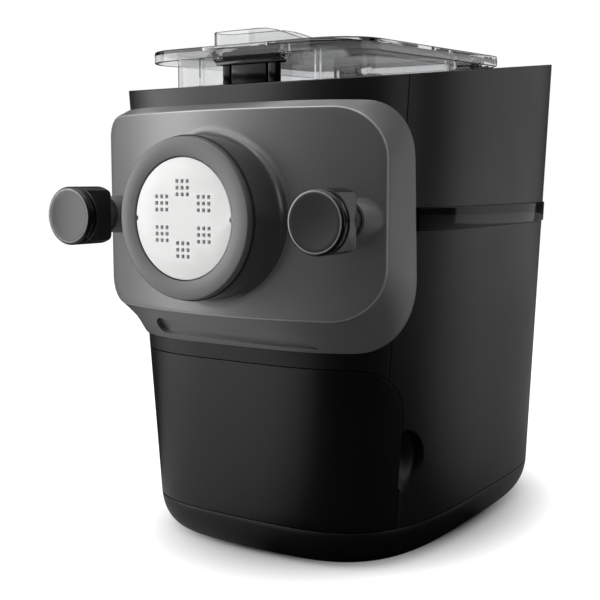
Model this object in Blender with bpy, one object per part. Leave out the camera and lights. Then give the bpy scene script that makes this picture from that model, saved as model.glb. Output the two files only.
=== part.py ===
# Electric pasta maker: a tall black housing with a clear mixing chamber on top, a gearmotor that turns
# a mixing paddle and an extrusion screw, and a grey front panel that holds the shaping disc.
# Metres, +Z up, front towards -Y, origin on the table under the middle of the whole object.
import math
import bpy
import bmesh
from mathutils import Matrix, Vector

# Fits between pieces
FIT = 0.0003
RUN = 0.0006
SEAM = 0.0006
OVERRUN = 0.004

# Mixing chamber, which the other main sizes follow
CHAMBER_HALF_WIDTH = 0.0690
CHAMBER_FRONT = 0.0940
CHAMBER_BACK = 0.0450
CHAMBER_FRONT_Y = -CHAMBER_FRONT
CHAMBER_BACK_Y = CHAMBER_BACK
CHAMBER_ROUND = 0.0150
CHAMBER_ROUND_STEPS = 2
CHAMBER_WALL = 0.0024
CHAMBER_ARC_STEPS = 10
AXIS_Z = 0.2058

# Body outline: a rounded box whose plan grows a little from the seam to the rim
CHAMBER_SIDE_ROOM = 0.0302
CHAMBER_FRONT_ROOM = 0.0191
CHAMBER_BACK_ROOM = 0.1118
SIDE_FLARE = 0.0099
FRONT_FLARE = 0.0184
BACK_FLARE = 0.0086
SEAM_Z = 0.0240
RIM_RISE = 0.0740
RIM_FRONT_Z = AXIS_Z + RIM_RISE
RIM_SLOPE_SHARE = 0.111
HALF_WIDTH_LOW = CHAMBER_HALF_WIDTH + CHAMBER_SIDE_ROOM
HALF_WIDTH_HIGH = HALF_WIDTH_LOW + SIDE_FLARE
FRONT_LOW = CHAMBER_FRONT + CHAMBER_FRONT_ROOM
FRONT_HIGH = FRONT_LOW + FRONT_FLARE
BACK_LOW = CHAMBER_BACK + CHAMBER_BACK_ROOM
BACK_HIGH = BACK_LOW + BACK_FLARE
PLAN_POWER_SHARE = 3.72
WALL = 0.0026
BODY_SIDES = 36

# Chassis
PLATE = 0.0040
PLATE_SIDE_ROOM = 0.0112
PLATE_HALF_WIDTH = HALF_WIDTH_LOW - PLATE_SIDE_ROOM
PLATE_SET_BACK = 0.0100
FRONT_PLATE_Y = CHAMBER_FRONT_Y + PLATE_SET_BACK
PLATE_DROP = 0.0238
PLATE_TOP_Z = RIM_FRONT_Z - PLATE_DROP
REAR_PLATE_STEP = 0.0080
REAR_PLATE_HALF_WIDTH = PLATE_HALF_WIDTH - REAR_PLATE_STEP
REAR_PLATE_REACH = 0.1418
REAR_PLATE_LOW_Z = AXIS_Z - REAR_PLATE_REACH
SHELF_THICKNESS = 0.0035
LEG_X = REAR_PLATE_HALF_WIDTH
LEG_WIDTH = 0.0060
LEG_LENGTH = 0.0080
LEG_SET_BACK = 0.0140
LEG_FRONT_Y = FRONT_PLATE_Y + LEG_SET_BACK
RAIL_WIDTH = 0.0120

# Storage drawer
DRAWER_EDGE_STEP = 0.0030
DRAWER_EDGE_Y = FRONT_PLATE_Y + DRAWER_EDGE_STEP
DRAWER_DROP = 0.0853
DRAWER_TOP_Z = AXIS_Z - DRAWER_DROP
DRAWER_CORNER = 0.0300
TRAY_SIDE_ROOM = 0.0010
TRAY_HALF_WIDTH = LEG_X - LEG_WIDTH - TRAY_SIDE_ROOM
TRAY_LENGTH = 0.0600
TRAY_BACK_Y = FRONT_PLATE_Y + TRAY_LENGTH
TRAY_LIFT = 0.0035
TRAY_BOTTOM_Z = SEAM_Z + TRAY_LIFT
TRAY_DROP = 0.0085
TRAY_TOP_Z = DRAWER_TOP_Z - TRAY_DROP
TRAY_WALL = 0.0018
RUNNER_INSET = 0.0260
RUNNER_X = TRAY_HALF_WIDTH - RUNNER_INSET
RUNNER_WIDTH = 0.0060

# Finger dishes on the sides, where the drawer is gripped
DISH_DROP = 0.00775
DISH_Z = (SEAM_Z + DRAWER_TOP_Z) / 2 - DISH_DROP
DISH_RADIUS = 0.0190
DISH_FLOOR_RADIUS = 0.0115
DISH_DEPTH = 0.0065
DISH_RISE = 0.0085
DISH_SIDES = 12

# Base tray and feet
BASE_BOTTOM_Z = 0.0015
BASE_INSET = 0.0120
BASE_ROUND_STEPS = 3
BASE_FLOOR = 0.0025
FOOT_RADIUS = 0.0100
FOOT_STEM_RADIUS = 0.0040
FOOT_SIDE_INSET = 0.0412
FOOT_X = HALF_WIDTH_LOW - FOOT_SIDE_INSET
FOOT_FRONT_INSET = 0.0401
FOOT_FRONT_Y = FOOT_FRONT_INSET - FRONT_LOW
FOOT_BACK_INSET = 0.0438
FOOT_BACK_Y = BACK_LOW - FOOT_BACK_INSET
CELL_LENGTH = 0.0340
CELL_WIDTH = 0.0120
CELL_HEIGHT = 0.0050
CELL_LIFT = 0.0030

# Front panel
FACE_STAND = 0.0070
FACE_Y = -FRONT_HIGH - FACE_STAND
FACE_BOW = 0.0235
FACE_SIDE_STEP = 0.0097
FACE_HALF_WIDTH = HALF_WIDTH_HIGH - FACE_SIDE_STEP
FACE_UP = 0.0582
FACE_DOWN = 0.0563
FACE_TOP_Z = AXIS_Z + FACE_UP
FACE_BOTTOM_Z = AXIS_Z - FACE_DOWN
FACE_CORNER = 0.0270
RIM_TOP_STEP = 0.0055
RIM_BOTTOM_STEP = 0.0190
RIM_TOP_Z = FACE_TOP_Z + RIM_TOP_STEP
RIM_BOTTOM_Z = FACE_BOTTOM_Z - RIM_BOTTOM_STEP
RIM_SIDE_STEP = 0.0326
RIM_SIDE_Y = RIM_SIDE_STEP - FRONT_LOW
RIM_CORNER = 0.0350
FASCIA_STAND = 0.0070
FASCIA_SEAM_Y = FRONT_PLATE_Y - FASCIA_STAND
PANEL_WALL = 0.0024
PANEL_PROUD_EDGE = 0.0013
PANEL_RIM_WIDTH = 0.0080
PANEL_EDGE_ROUND = 0.0007
PANEL_COLUMNS = 36
PANEL_CROWD_SHARE = 0.07
DISC_FLANGE_RADIUS = 0.0366
SKIRT_GAP = 0.0006
RING_SKIRT_BORE = DISC_FLANGE_RADIUS + SKIRT_GAP
SKIRT_WALL = 0.0051
RING_SKIRT_RADIUS = RING_SKIRT_BORE + SKIRT_WALL
SKIRT_ROOM = 0.0007
COLLAR_BORE = RING_SKIRT_RADIUS + SKIRT_ROOM
COLLAR_WALL = 0.0026
COLLAR_RADIUS = COLLAR_BORE + COLLAR_WALL
COLLAR_LENGTH = 0.0231
COLLAR_FRONT_Y = FACE_Y - COLLAR_LENGTH
COLLAR_FILLET = 0.0060
GRIP_HALF_LENGTH = 0.0520
GRIP_RISE = 0.0095
GRIP_DEPTH = 0.0022
GRIP_SLANT = 0.0070
GRIP_PLACE_SHARE = 0.6

# Trim band round the sides and the back
BAND_RISE = 0.0055
BAND_WIDTH = 0.0130
BAND_HIGH_Z = AXIS_Z + BAND_RISE
BAND_LOW_Z = BAND_HIGH_Z - BAND_WIDTH
BAND_GAP = 0.0015
BAND_START_Y = RIM_SIDE_Y + BAND_GAP
BAND_PROUD = 0.0010
BAND_SET_IN = 0.0011

# Knobs and the studs that they screw on
KNOB_INSET = 0.01373
KNOB_X = FACE_HALF_WIDTH - KNOB_INSET
KNOB_LENGTH = 0.0235
KNOB_STAND = 0.0045
KNOB_BACK_Y = FACE_Y - KNOB_STAND
KNOB_FACE_Y = KNOB_BACK_Y - KNOB_LENGTH
KNOB_RADIUS = 0.0162
KNOB_CHAMFER = 0.0009
KNOB_DISH = 0.0006
KNOB_CAP = 0.0045
KNOB_GROOVE = 0.0012
KNOB_GROOVE_DEPTH = 0.0018
KNOB_BACK_ROUND = 0.0030
KNOB_FLAT_X = 0.0085
KNOB_SIDES = 16
NECK_RADIUS = 0.0098
NECK_LENGTH = 0.0160
NECK_BACK_Y = KNOB_BACK_Y + NECK_LENGTH
BOSS_GAP = 0.0086
BOSS_LENGTH = 0.0239
BOSS_FRONT_Y = KNOB_BACK_Y + BOSS_GAP
BOSS_FRONT_RADIUS = 0.0108
BOSS_BACK_RADIUS = 0.0126
BOSS_BACK_Y = BOSS_FRONT_Y + BOSS_LENGTH
BOSS_FLOOR_GAP = 0.0008
BOSS_FLOOR_Y = NECK_BACK_Y + BOSS_FLOOR_GAP
STUD_RADIUS = 0.0040
STUD_SET_BACK = 0.0010
STUD_FRONT_Y = KNOB_BACK_Y + STUD_SET_BACK
STUD_FLANGE_RADIUS = 0.0058
STUD_FLANGE = 0.0030

# Shaping disc, its cap ring and the extrusion tube
RING_PROUD = 0.0043
RING_LENGTH = 0.0159
RING_FRONT_Y = COLLAR_FRONT_Y - RING_PROUD
RING_BACK_Y = RING_FRONT_Y + RING_LENGTH
RING_STEP = 0.0010
RING_RADIUS = COLLAR_RADIUS - RING_STEP
DISC_LEDGE = 0.0026
RING_WINDOW = DISC_FLANGE_RADIUS - DISC_LEDGE
RING_LIP = 0.0035
DISC_SET_BACK = 0.0005
DISC_THICKNESS = 0.0062
DISC_FRONT_Y = RING_FRONT_Y + DISC_SET_BACK
DISC_BACK_Y = DISC_FRONT_Y + DISC_THICKNESS
DISC_HOLE = 0.0018
DISC_PITCH = 0.0036
DISC_GROUP_RADIUS = 0.0169
DISC_GROUPS = 6
DISC_ROW = 3
DISC_POCKET_RADIUS = 0.0232
DISC_POCKET_DEPTH = 0.0040
TUBE_RADIUS = 0.0236
TUBE_BORE = 0.0196
TUBE_FLANGE_STEP = 0.0002
TUBE_FLANGE_RADIUS = DISC_FLANGE_RADIUS - TUBE_FLANGE_STEP
TUBE_FLANGE = 0.0040
FASCIA_HOLE_ROOM = 0.0020
FASCIA_HOLE = COLLAR_BORE + FASCIA_HOLE_ROOM
ROUND_SIDES = 24
SMALL_SIDES = 14
TINY_SIDES = 10
POST_SIDES = 6

# Paddle and extrusion screw
PADDLE_HUB = 0.0100
PADDLE_ROOM = 0.0056
PADDLE_REACH = CHAMBER_HALF_WIDTH - CHAMBER_WALL - PADDLE_ROOM
PADDLE_BLADE = 0.0150
PADDLE_THICKNESS = 0.0040
PADDLE_ARMS = 3
PADDLE_STEPS = 4
PADDLE_FRONT_ROOM = 0.0380
PADDLE_BACK_ROOM = 0.0080
PADDLE_FRONT_Y = CHAMBER_FRONT_Y + PADDLE_FRONT_ROOM
PADDLE_BACK_Y = CHAMBER_BACK_Y - PADDLE_BACK_ROOM
PADDLE_FIRST_SHARE = 0.1875
PADDLE_STEP_SHARE = 0.3125
PADDLE_LEAN_SHARE = 20 / 360
PADDLE_TWIST_SHARE = 35 / 360
SCREW_TIP_GAP = 0.0047
SCREW_FRONT_Y = DISC_BACK_Y + SCREW_TIP_GAP
SCREW_BACK_Y = PADDLE_FRONT_Y - FIT
SCREW_CORE = 0.0085
SCREW_ROOT_SHARE = 0.7
SCREW_REACH = 0.0188
SCREW_PITCH = 0.0205
SCREW_FLIGHT_FOOT = 0.0050
SCREW_FLIGHT_TIP = 0.0026
SCREW_TURN_STEPS = 10

# Gear train behind the chamber
SHAFT_RADIUS = 0.0060
SHAFT_SET_BACK = 0.0260
SHAFT_FRONT_Y = PADDLE_FRONT_Y + SHAFT_SET_BACK
GEAR_ANGLE_SHARE = 25 / 360
OUTPUT_TEETH = 36
OUTPUT_MODULE = 0.0025
IDLER_TEETH = 32
IDLER_MODULE = 0.0025
PINION_TEETH = 10
GEAR_ROOT_SHARE = 1.25
GEAR_WINDOWS = 5
GEAR_WINDOW_SHARE = 0.29
GEAR_PLAY = 0.0002
GEAR_BACKLASH = 0.0002
STAGE_A_WIDTH = 0.0100
STAGE_B_WIDTH = 0.0080
CASE_WALL = 0.0030
CASE_DEPTH = 0.0340
CASE_ROOM = 0.0030
CASE_STEPS = 4
BEARING_RADIUS = 0.0120
BEARING_WIDTH = 0.0060
AXLE_RADIUS = 0.0030

# Motor
MOTOR_RADIUS = 0.0275
MOTOR_EDGE_SHARE = 0.125
MOTOR_LENGTH = 0.0540
MOTOR_NOSE = 0.0110
MOTOR_SHAFT_RADIUS = 0.0030
FAN_RADIUS = 0.0250
FAN_HUB_SHARE = 0.25
FAN_WIDTH = 0.0080
FAN_BLADES = 7
FAN_HUB_TURN_SHARES = (-0.0318, 0.0191)
FAN_TIP_TURN_SHARES = (0.0430, 0.0557)
MOTOR_SIDES = 16

# Lid
LID_OVERHANG = 0.0091
LID_HALF_WIDTH = CHAMBER_HALF_WIDTH + LID_OVERHANG
LID_FRONT_REACH = 0.0209
LID_BACK_REACH = 0.0430
LID_FRONT_Y = CHAMBER_FRONT_Y - LID_FRONT_REACH
LID_BACK_Y = CHAMBER_BACK_Y + LID_BACK_REACH
LID_RISE = 0.0247
LID_TOP_Z = RIM_FRONT_Z + LID_RISE
LID_DEPTH = 0.00685
LID_SLOPE_SHARE = 0.034
LID_CORNER = 0.0300
LID_BACK_CORNER = 0.0120
LID_CORNER_STEPS = 4
LID_WALL = 0.0024
LID_EDGE_ROUND = 0.0010
HINGE_SET_BACK = 0.0055
HINGE_RISE = 0.0035
HINGE_Y = LID_BACK_Y + HINGE_SET_BACK
HINGE_Z = LID_TOP_Z + HINGE_RISE
KNUCKLE_RADIUS = 0.0035
KNUCKLE_LENGTH = 0.0180
KNUCKLE_INSET = 0.0331
KNUCKLE_X = LID_HALF_WIDTH - KNUCKLE_INSET
KNUCKLE_STEPS = 8
PIN_RADIUS = 0.0014
EAR_LENGTH = 0.0050

# Water inlet on the lid: a wall round a slot, high at its left end and running out to the right
INLET_LEFT_X = -0.0480
INLET_CREST_X = -0.0080
INLET_RIGHT_X = 0.0270
INLET_SET_BACK = 0.0449
INLET_Y = LID_FRONT_Y + INLET_SET_BACK
INLET_HALF_DEPTH = 0.0110
INLET_RISE = 0.0121
INLET_WALL = 0.0018
INLET_SIDES = 16
INLET_SLOT_RIGHT_X = 0.0040

# Top deck and controls
DECK_DROP = 0.0015
DECK_THICKNESS = 0.0025
DECK_HOLE_ROOM = 0.0030
PANEL_HINGE_GAP = 0.0075
PANEL_BACK_INSET = 0.0108
PANEL_SIDE_STEP = 0.0081
PANEL_FRONT_Y = HINGE_Y + PANEL_HINGE_GAP
PANEL_BACK_Y = BACK_LOW - PANEL_BACK_INSET
PANEL_HALF_WIDTH = LID_HALF_WIDTH - PANEL_SIDE_STEP
PANEL_CORNER = 0.0060
PANEL_THICKNESS = 0.0030
PANEL_PROUD = 0.0008
BUTTON_RADIUS = 0.0080
BUTTON_INSET = 0.0220
BUTTON_X = PANEL_HALF_WIDTH - BUTTON_INSET
BUTTON_PROUD = 0.0020
BUTTON_FLANGE = 0.0016
BUTTON_TRAVEL = 0.0012
BOARD_THICKNESS = 0.0016
BOARD_DROP = 0.0060
CONTROL_BOARD_HALF_WIDTH = PANEL_HALF_WIDTH - PANEL_CORNER
TOUCH_SWITCH = 0.0060

# Lid latch
LATCH_FLANGE_HALF = 0.0226
LATCH_BLOCK_HALF = 0.0190
LATCH_SET_BACK = 0.0094
LATCH_DEPTH = 0.0080
LATCH_BLOCK_STEP = 0.0020
LATCH_FRONT_Y = LID_FRONT_Y + LATCH_SET_BACK
LATCH_BACK_Y = LATCH_FRONT_Y + LATCH_DEPTH
LATCH_BLOCK_FRONT_Y = LATCH_FRONT_Y + LATCH_BLOCK_STEP
LATCH_DROP = 0.0073
LATCH_FLANGE = 0.0030
LATCH_LENGTH = 0.0110
LATCH_FLANGE_TOP_Z = LID_TOP_Z - LATCH_DROP
LATCH_FLANGE_LOW_Z = LATCH_FLANGE_TOP_Z - LATCH_FLANGE
LATCH_BOTTOM_Z = LATCH_FLANGE_LOW_Z - LATCH_LENGTH
LATCH_PIN_INSET = 0.0030
LATCH_PIN_RISE = 0.0023
LATCH_AXIS_Y = LATCH_BACK_Y - LATCH_PIN_INSET
LATCH_AXIS_Z = LATCH_FLANGE_TOP_Z + LATCH_PIN_RISE
LATCH_EYE_RADIUS = 0.0024
LATCH_PIN_RADIUS = 0.0011
LUG_THICKNESS = 0.0025
LUG_RADIUS = 0.0034

# Back of the housing and its small inner pieces
VENT_SLOTS = 8
VENT_SLOT_WIDTH = 0.0030
VENT_SLOT_PITCH = 0.0090
VENT_RISE = 0.0460
VENT_LENGTH = 0.0500
VENT_LOW_Z = SEAM_Z + VENT_RISE
VENT_HIGH_Z = VENT_LOW_Z + VENT_LENGTH
GLAND_X = -0.0200
GLAND_RISE = 0.0180
GLAND_Z = SEAM_Z + GLAND_RISE
GLAND_RADIUS = 0.0075
GLAND_TAIL = 0.0090
GLAND_SLOT_LENGTH = 0.0058
GLAND_SLOT_WIDTH = 0.0036
GLAND_SLOT_ROUND_SHARE = 0.9
BOARD_BACK_INSET = 0.0188
BOARD_BACK_Y = BACK_LOW - BOARD_BACK_INSET
BOARD_FRONT_GAP = 0.0250
BOARD_FRONT_Y = CHAMBER_BACK_Y + BOARD_FRONT_GAP
BOARD_LEG_GAP = 0.0310
BOARD_HALF_WIDTH = LEG_X - BOARD_LEG_GAP
BOARD_POST = 0.0060
BOARD_PART_SHARES = (
    (-0.55, 0.30, 0.20, 0.30, 0.36), (0.10, 0.35, 0.24, 0.32, 0.42), (0.62, 0.55, 0.18, 0.40, 0.28),
    (-0.20, 0.80, 0.30, 0.16, 0.20),
)
SWITCH_LENGTH = 0.0200
SWITCH_DEPTH = 0.0070
SWITCH_HEIGHT = 0.0100

# Colours from the object: colour, roughness, metallic, alpha
FINISHES = {
    "matte_black": ((0.022, 0.022, 0.023), 0.45, 0.0, 1.0),
    "gloss_black": ((0.010, 0.010, 0.011), 0.12, 0.0, 1.0),
    "graphite": ((0.110, 0.110, 0.112), 0.36, 0.4, 1.0),
    "clear": ((0.90, 0.91, 0.92), 0.06, 0.0, 0.3),
    "disc_white": ((0.86, 0.86, 0.85), 0.35, 0.0, 1.0),
    "ring_grey": ((0.200, 0.200, 0.203), 0.40, 0.3, 1.0),
    "inner_plastic": ((0.16, 0.16, 0.17), 0.55, 0.0, 1.0),
    "gear_plastic": ((0.78, 0.76, 0.70), 0.45, 0.0, 1.0),
    "steel": ((0.55, 0.56, 0.57), 0.28, 1.0, 1.0),
    "rubber": ((0.030, 0.030, 0.031), 0.85, 0.0, 1.0),
    "board_green": ((0.02, 0.16, 0.08), 0.50, 0.0, 1.0),
}


def clear_scene():
    for old in list(bpy.data.objects):
        bpy.data.objects.remove(old)


def finish_material(name):
    found = bpy.data.materials.get(name)
    if found:
        return found
    colour, roughness, metallic, alpha = FINISHES[name]
    made = bpy.data.materials.new(name)
    made.use_nodes = True
    shader = made.node_tree.nodes["Principled BSDF"]
    shader.inputs["Base Color"].default_value = (*colour, 1.0)
    shader.inputs["Roughness"].default_value = roughness
    shader.inputs["Metallic"].default_value = metallic
    shader.inputs["Alpha"].default_value = alpha
    made.diffuse_color = (*colour, alpha)
    return made


def solid(name, finish, bm, smooth_degrees=35):
    bmesh.ops.recalc_face_normals(bm, faces=bm.faces)
    if bm.calc_volume(signed=True) < 0:
        bmesh.ops.reverse_faces(bm, faces=bm.faces)
    mesh = bpy.data.meshes.new(name)
    bm.to_mesh(mesh)
    bm.free()
    mesh.shade_smooth()
    mesh.set_sharp_from_angle(angle=math.radians(smooth_degrees))
    mesh.materials.append(finish_material(finish))
    made = bpy.data.objects.new(name, mesh)
    bpy.context.scene.collection.objects.link(made)
    return made


def loft(name, finish, rings, closed=False):
    """Joins rings of points; capped at both ends, or closed on itself like a tube's wall."""
    bm = bmesh.new()
    rows = [[bm.verts.new(point) for point in ring] for ring in rings]
    pairs = list(zip(rows, rows[1:]))
    if closed:
        pairs.append((rows[-1], rows[0]))
    for low, high in pairs:
        for i in range(len(low)):
            j = (i + 1) % len(low)
            bm.faces.new((low[i], low[j], high[j], high[i]))
    if not closed:
        bm.faces.new(list(reversed(rows[0])))
        bm.faces.new(rows[-1])
    return solid(name, finish, bm)


def block(name, finish, low, high):
    x0, y0, z0 = low
    x1, y1, z1 = high
    plan = ((x0, y0), (x1, y0), (x1, y1), (x0, y1))
    return loft(name, finish, [[(x, y, z) for x, y in plan] for z in (z0, z1)])


def prism(name, finish, outline, start, end, axis):
    """An outline of (first, second) coordinates carried along x, y or z."""
    place = {
        "x": lambda a, b, along: (along, a, b),
        "y": lambda a, b, along: (a, along, b),
        "z": lambda a, b, along: (a, b, along),
    }[axis]
    return loft(name, finish, [[place(a, b, along) for a, b in outline] for along in (start, end)])


def rounded_rectangle(x0, x1, y0, y1, corners, steps=6):
    """Corner radii run from high x and high y round through low x, high y."""
    points = []
    marks = ((x1, y1, -1, -1, 0), (x0, y1, 1, -1, 1), (x0, y0, 1, 1, 2), (x1, y0, -1, 1, 3))
    for (x, y, dx, dy, quarter), radius in zip(marks, corners):
        for i in range(steps + 1):
            turn = math.pi / 2 * (quarter + i / steps)
            points.append((x + radius * (dx + math.cos(turn)), y + radius * (dy + math.sin(turn))))
    return points


def circle(radius, sides, centre=(0, 0), phase=0):
    turns = [phase + math.tau * i / sides for i in range(sides)]
    return [(centre[0] + radius * math.cos(t), centre[1] + radius * math.sin(t)) for t in turns]


def turned(name, finish, profile, sides, centre, hollow=False):
    """Turns (y, radius) points about a line along y through centre, given as (x, z)."""
    rings = []
    for y, radius in profile:
        rings.append([(x, y, z) for x, z in circle(radius, sides, centre)])
    return loft(name, finish, rings, closed=hollow)


def hole(name, radius, start, end, centre, sides=SMALL_SIDES):
    """A round hole along y whose flats, not its corners, lie at the radius."""
    reach = radius / math.cos(math.pi / sides)
    return turned(name, "steel", ((start, reach), (end, reach)), sides, centre)


def upright(name, finish, profile, sides, centre):
    """Turns (z, radius) points about a line along z through centre, given as (x, y)."""
    rings = []
    for z, radius in profile:
        rings.append([(x, y, z) for x, y in circle(radius, sides, centre)])
    return loft(name, finish, rings)


def combine(piece, operation, *tools):
    for tool in tools:
        step = piece.modifiers.new(tool.name, "BOOLEAN")
        step.operation = operation
        step.solver = "EXACT"
        step.object = tool
        tool.hide_render = True
        tool.display_type = "WIRE"
    return piece


def cut(piece, *tools):
    return combine(piece, "DIFFERENCE", *tools)


def join(piece, *tools):
    return combine(piece, "UNION", *tools)


def keep(piece, *tools):
    return combine(piece, "INTERSECT", *tools)


def gather(name, pieces):
    """Makes one tool of several simple pieces that don't touch each other."""
    bm = bmesh.new()
    for piece in pieces:
        bm.from_mesh(piece.data)
        bpy.data.objects.remove(piece)
    return solid(name, "steel", bm)


def carry(name, point, pieces):
    """Hangs pieces and their tools on an empty that stands on the joint's axis."""
    pivot = bpy.data.objects.new(name, None)
    pivot.location = point
    bpy.context.scene.collection.objects.link(pivot)
    group = list(pieces)
    for piece in group:
        tools = [step.object for step in piece.modifiers if step.type == "BOOLEAN"]
        group.extend(tool for tool in tools if tool not in group)
    for piece in group:
        piece.data.transform(Matrix.Translation(-Vector(point)))
        piece.parent = pivot
    return pivot


# Body outline

def section(z, inset=0.0):
    rise = (z - SEAM_Z) / (RIM_FRONT_Z - SEAM_Z)
    half = HALF_WIDTH_LOW + rise * (HALF_WIDTH_HIGH - HALF_WIDTH_LOW) - inset
    front = -FRONT_LOW - rise * (FRONT_HIGH - FRONT_LOW) + inset
    back = BACK_LOW + rise * (BACK_HIGH - BACK_LOW) - inset
    return half, front, back


def body_point(z, turn, inset=0.0):
    half, front, back = section(z, inset)
    reach = (back - front) / 2
    across, along = math.cos(turn), math.sin(turn)
    power = PLAN_POWER_SHARE
    size = (abs(across / half) ** power + abs(along / reach) ** power) ** (-1 / power)
    return Vector((size * across, (front + back) / 2 + size * along, z))


def body_turns():
    return [math.tau * (i + 0.5) / BODY_SIDES for i in range(BODY_SIDES)]


def body_ring(z, inset=0.0):
    return [body_point(z, turn, inset) for turn in body_turns()]


def rim_height(y, drop=0.0):
    return RIM_FRONT_Z + RIM_SLOPE_SHARE * (y + FRONT_HIGH) - drop


def rim_ring(inset=0.0, drop=0.0):
    """The body outline where it meets the sloping rim, let down by drop."""
    ring = []
    for turn in body_turns():
        point = body_point(RIM_FRONT_Z, turn, inset)
        for _ in range(3):
            point = body_point(rim_height(point.y, drop), turn, inset)
        ring.append(point)
    return ring


def body_wall(name, low, grooved):
    """The whole housing wall from a low edge to the sloping rim, open above and below."""
    groove_low = BAND_LOW_Z - FIT
    groove_high = BAND_HIGH_Z + FIT
    rings = [body_ring(low)]
    if grooved:
        rings += [body_ring(groove_low), body_ring(groove_low, BAND_SET_IN)]
        rings += [body_ring(groove_high, BAND_SET_IN), body_ring(groove_high)]
    rings += [rim_ring(), rim_ring(WALL), body_ring(low, WALL)]
    return loft(name, "matte_black", rings, closed=True)


def side_profile(name, edge_y, top, corner):
    """The drawer front's outline seen from the side, as a solid right across the body."""
    outline = rounded_rectangle(
        edge_y - 2 * FRONT_HIGH, edge_y, -top, top, (corner, 0, 0, 0), steps=8
    )
    return prism(name, "matte_black", outline, -2 * HALF_WIDTH_HIGH, 2 * HALF_WIDTH_HIGH, "x")


def inner_half_width(y, z, inset):
    """Half the width of the body at a depth and height, inside a wall of this inset."""
    half, front, back = section(z, inset)
    reach = (back - front) / 2
    share = abs(y - (front + back) / 2) / reach
    return half * (1 - min(share, 1) ** PLAN_POWER_SHARE) ** (1 / PLAN_POWER_SHARE)


# Shell pieces

def finger_dish(side):
    """A cone set into the side wall, and the cup that carries it on the wall's inside."""
    seam_x = inner_half_width(DRAWER_EDGE_Y, DISH_Z, 0.0)

    def cone(name, grow):
        rings = []
        stations = (
            (seam_x - DISH_DEPTH - grow, DISH_FLOOR_RADIUS + grow),
            (seam_x - DISH_DEPTH + DISH_RISE, DISH_RADIUS + grow),
            (seam_x + 2 * DISH_RISE, DISH_RADIUS + grow),
        )
        for x, radius in stations:
            ring = circle(radius, DISH_SIDES, (DRAWER_EDGE_Y, DISH_Z), math.pi / DISH_SIDES)
            rings.append([(side * x, y, z) for y, z in ring])
        return loft(name, "matte_black", rings)

    cup = cone(f"dish_cup_{side}", TRAY_WALL)
    low, high = DISH_Z - 2 * DISH_RADIUS, DISH_Z + 2 * DISH_RADIUS
    keep(cup, body_block(f"dish_cup_room_{side}", WALL / 2, low, high))
    return cup, cone(f"dish_hollow_{side}", 0.0)


def make_housing():
    housing = body_wall("housing", SEAM_Z + SEAM / 2, grooved=True)
    cups = [finger_dish(side) for side in (-1, 1)]
    join(housing, *[cup for cup, _ in cups])
    cut(housing, *[hollow for _, hollow in cups])
    front = block(
        "front_cutter", "matte_black",
        (-2 * HALF_WIDTH_HIGH, -2 * FRONT_HIGH, -SEAM_Z),
        (2 * HALF_WIDTH_HIGH, FASCIA_SEAM_Y + SEAM / 2, 2 * RIM_FRONT_Z),
    )
    bay = side_profile("drawer_bay", DRAWER_EDGE_Y + SEAM, DRAWER_TOP_Z + SEAM, DRAWER_CORNER + SEAM)
    cut(housing, front, bay)
    for i in range(VENT_SLOTS):
        x = (i - (VENT_SLOTS - 1) / 2) * VENT_SLOT_PITCH
        slot = block(
            f"vent_{i}", "matte_black",
            (x - VENT_SLOT_WIDTH / 2, BACK_LOW - 2 * OVERRUN, VENT_LOW_Z),
            (x + VENT_SLOT_WIDTH / 2, BACK_HIGH + OVERRUN, VENT_HIGH_Z),
        )
        cut(housing, slot)
    gland_start = BACK_LOW - 3 * OVERRUN
    return cut(
        housing, hole("gland_hole", GLAND_RADIUS + FIT, gland_start, BACK_HIGH + OVERRUN, (GLAND_X, GLAND_Z))
    )


def make_fascia():
    fascia = body_wall("front_fascia", DRAWER_TOP_Z - DRAWER_CORNER, grooved=False)
    front = block(
        "fascia_side", "matte_black",
        (-2 * HALF_WIDTH_HIGH, -2 * FRONT_HIGH, -SEAM_Z),
        (2 * HALF_WIDTH_HIGH, FASCIA_SEAM_Y - SEAM / 2, 2 * RIM_FRONT_Z),
    )
    keep(fascia, front)
    bay = side_profile("fascia_bay", DRAWER_EDGE_Y + SEAM, DRAWER_TOP_Z + SEAM, DRAWER_CORNER + SEAM)
    opening = turned(
        "fascia_opening", "matte_black",
        ((-FRONT_HIGH - OVERRUN, FASCIA_HOLE), (FASCIA_SEAM_Y, FASCIA_HOLE)),
        ROUND_SIDES, (0, AXIS_Z),
    )
    cut(fascia, bay, opening)
    for side in (-1, 1):
        reach = STUD_FLANGE_RADIUS + RUN
        cut(fascia, hole(f"stud_hole_{side}", reach, -FRONT_HIGH, FASCIA_SEAM_Y, (side * KNOB_X, AXIS_Z)))
    return fascia


def make_trim_band():
    low, high = BAND_LOW_Z, BAND_HIGH_Z
    inner = BAND_SET_IN - FIT
    rings = [body_ring(low, inner), body_ring(low, -BAND_PROUD)]
    rings += [body_ring(high, -BAND_PROUD), body_ring(high, inner)]
    band = loft("trim_band", "gloss_black", rings, closed=True)
    reach = block(
        "band_reach", "gloss_black",
        (-2 * HALF_WIDTH_HIGH, BAND_START_Y, SEAM_Z),
        (2 * HALF_WIDTH_HIGH, 2 * BACK_HIGH, RIM_FRONT_Z),
    )
    return keep(band, reach)


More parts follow.
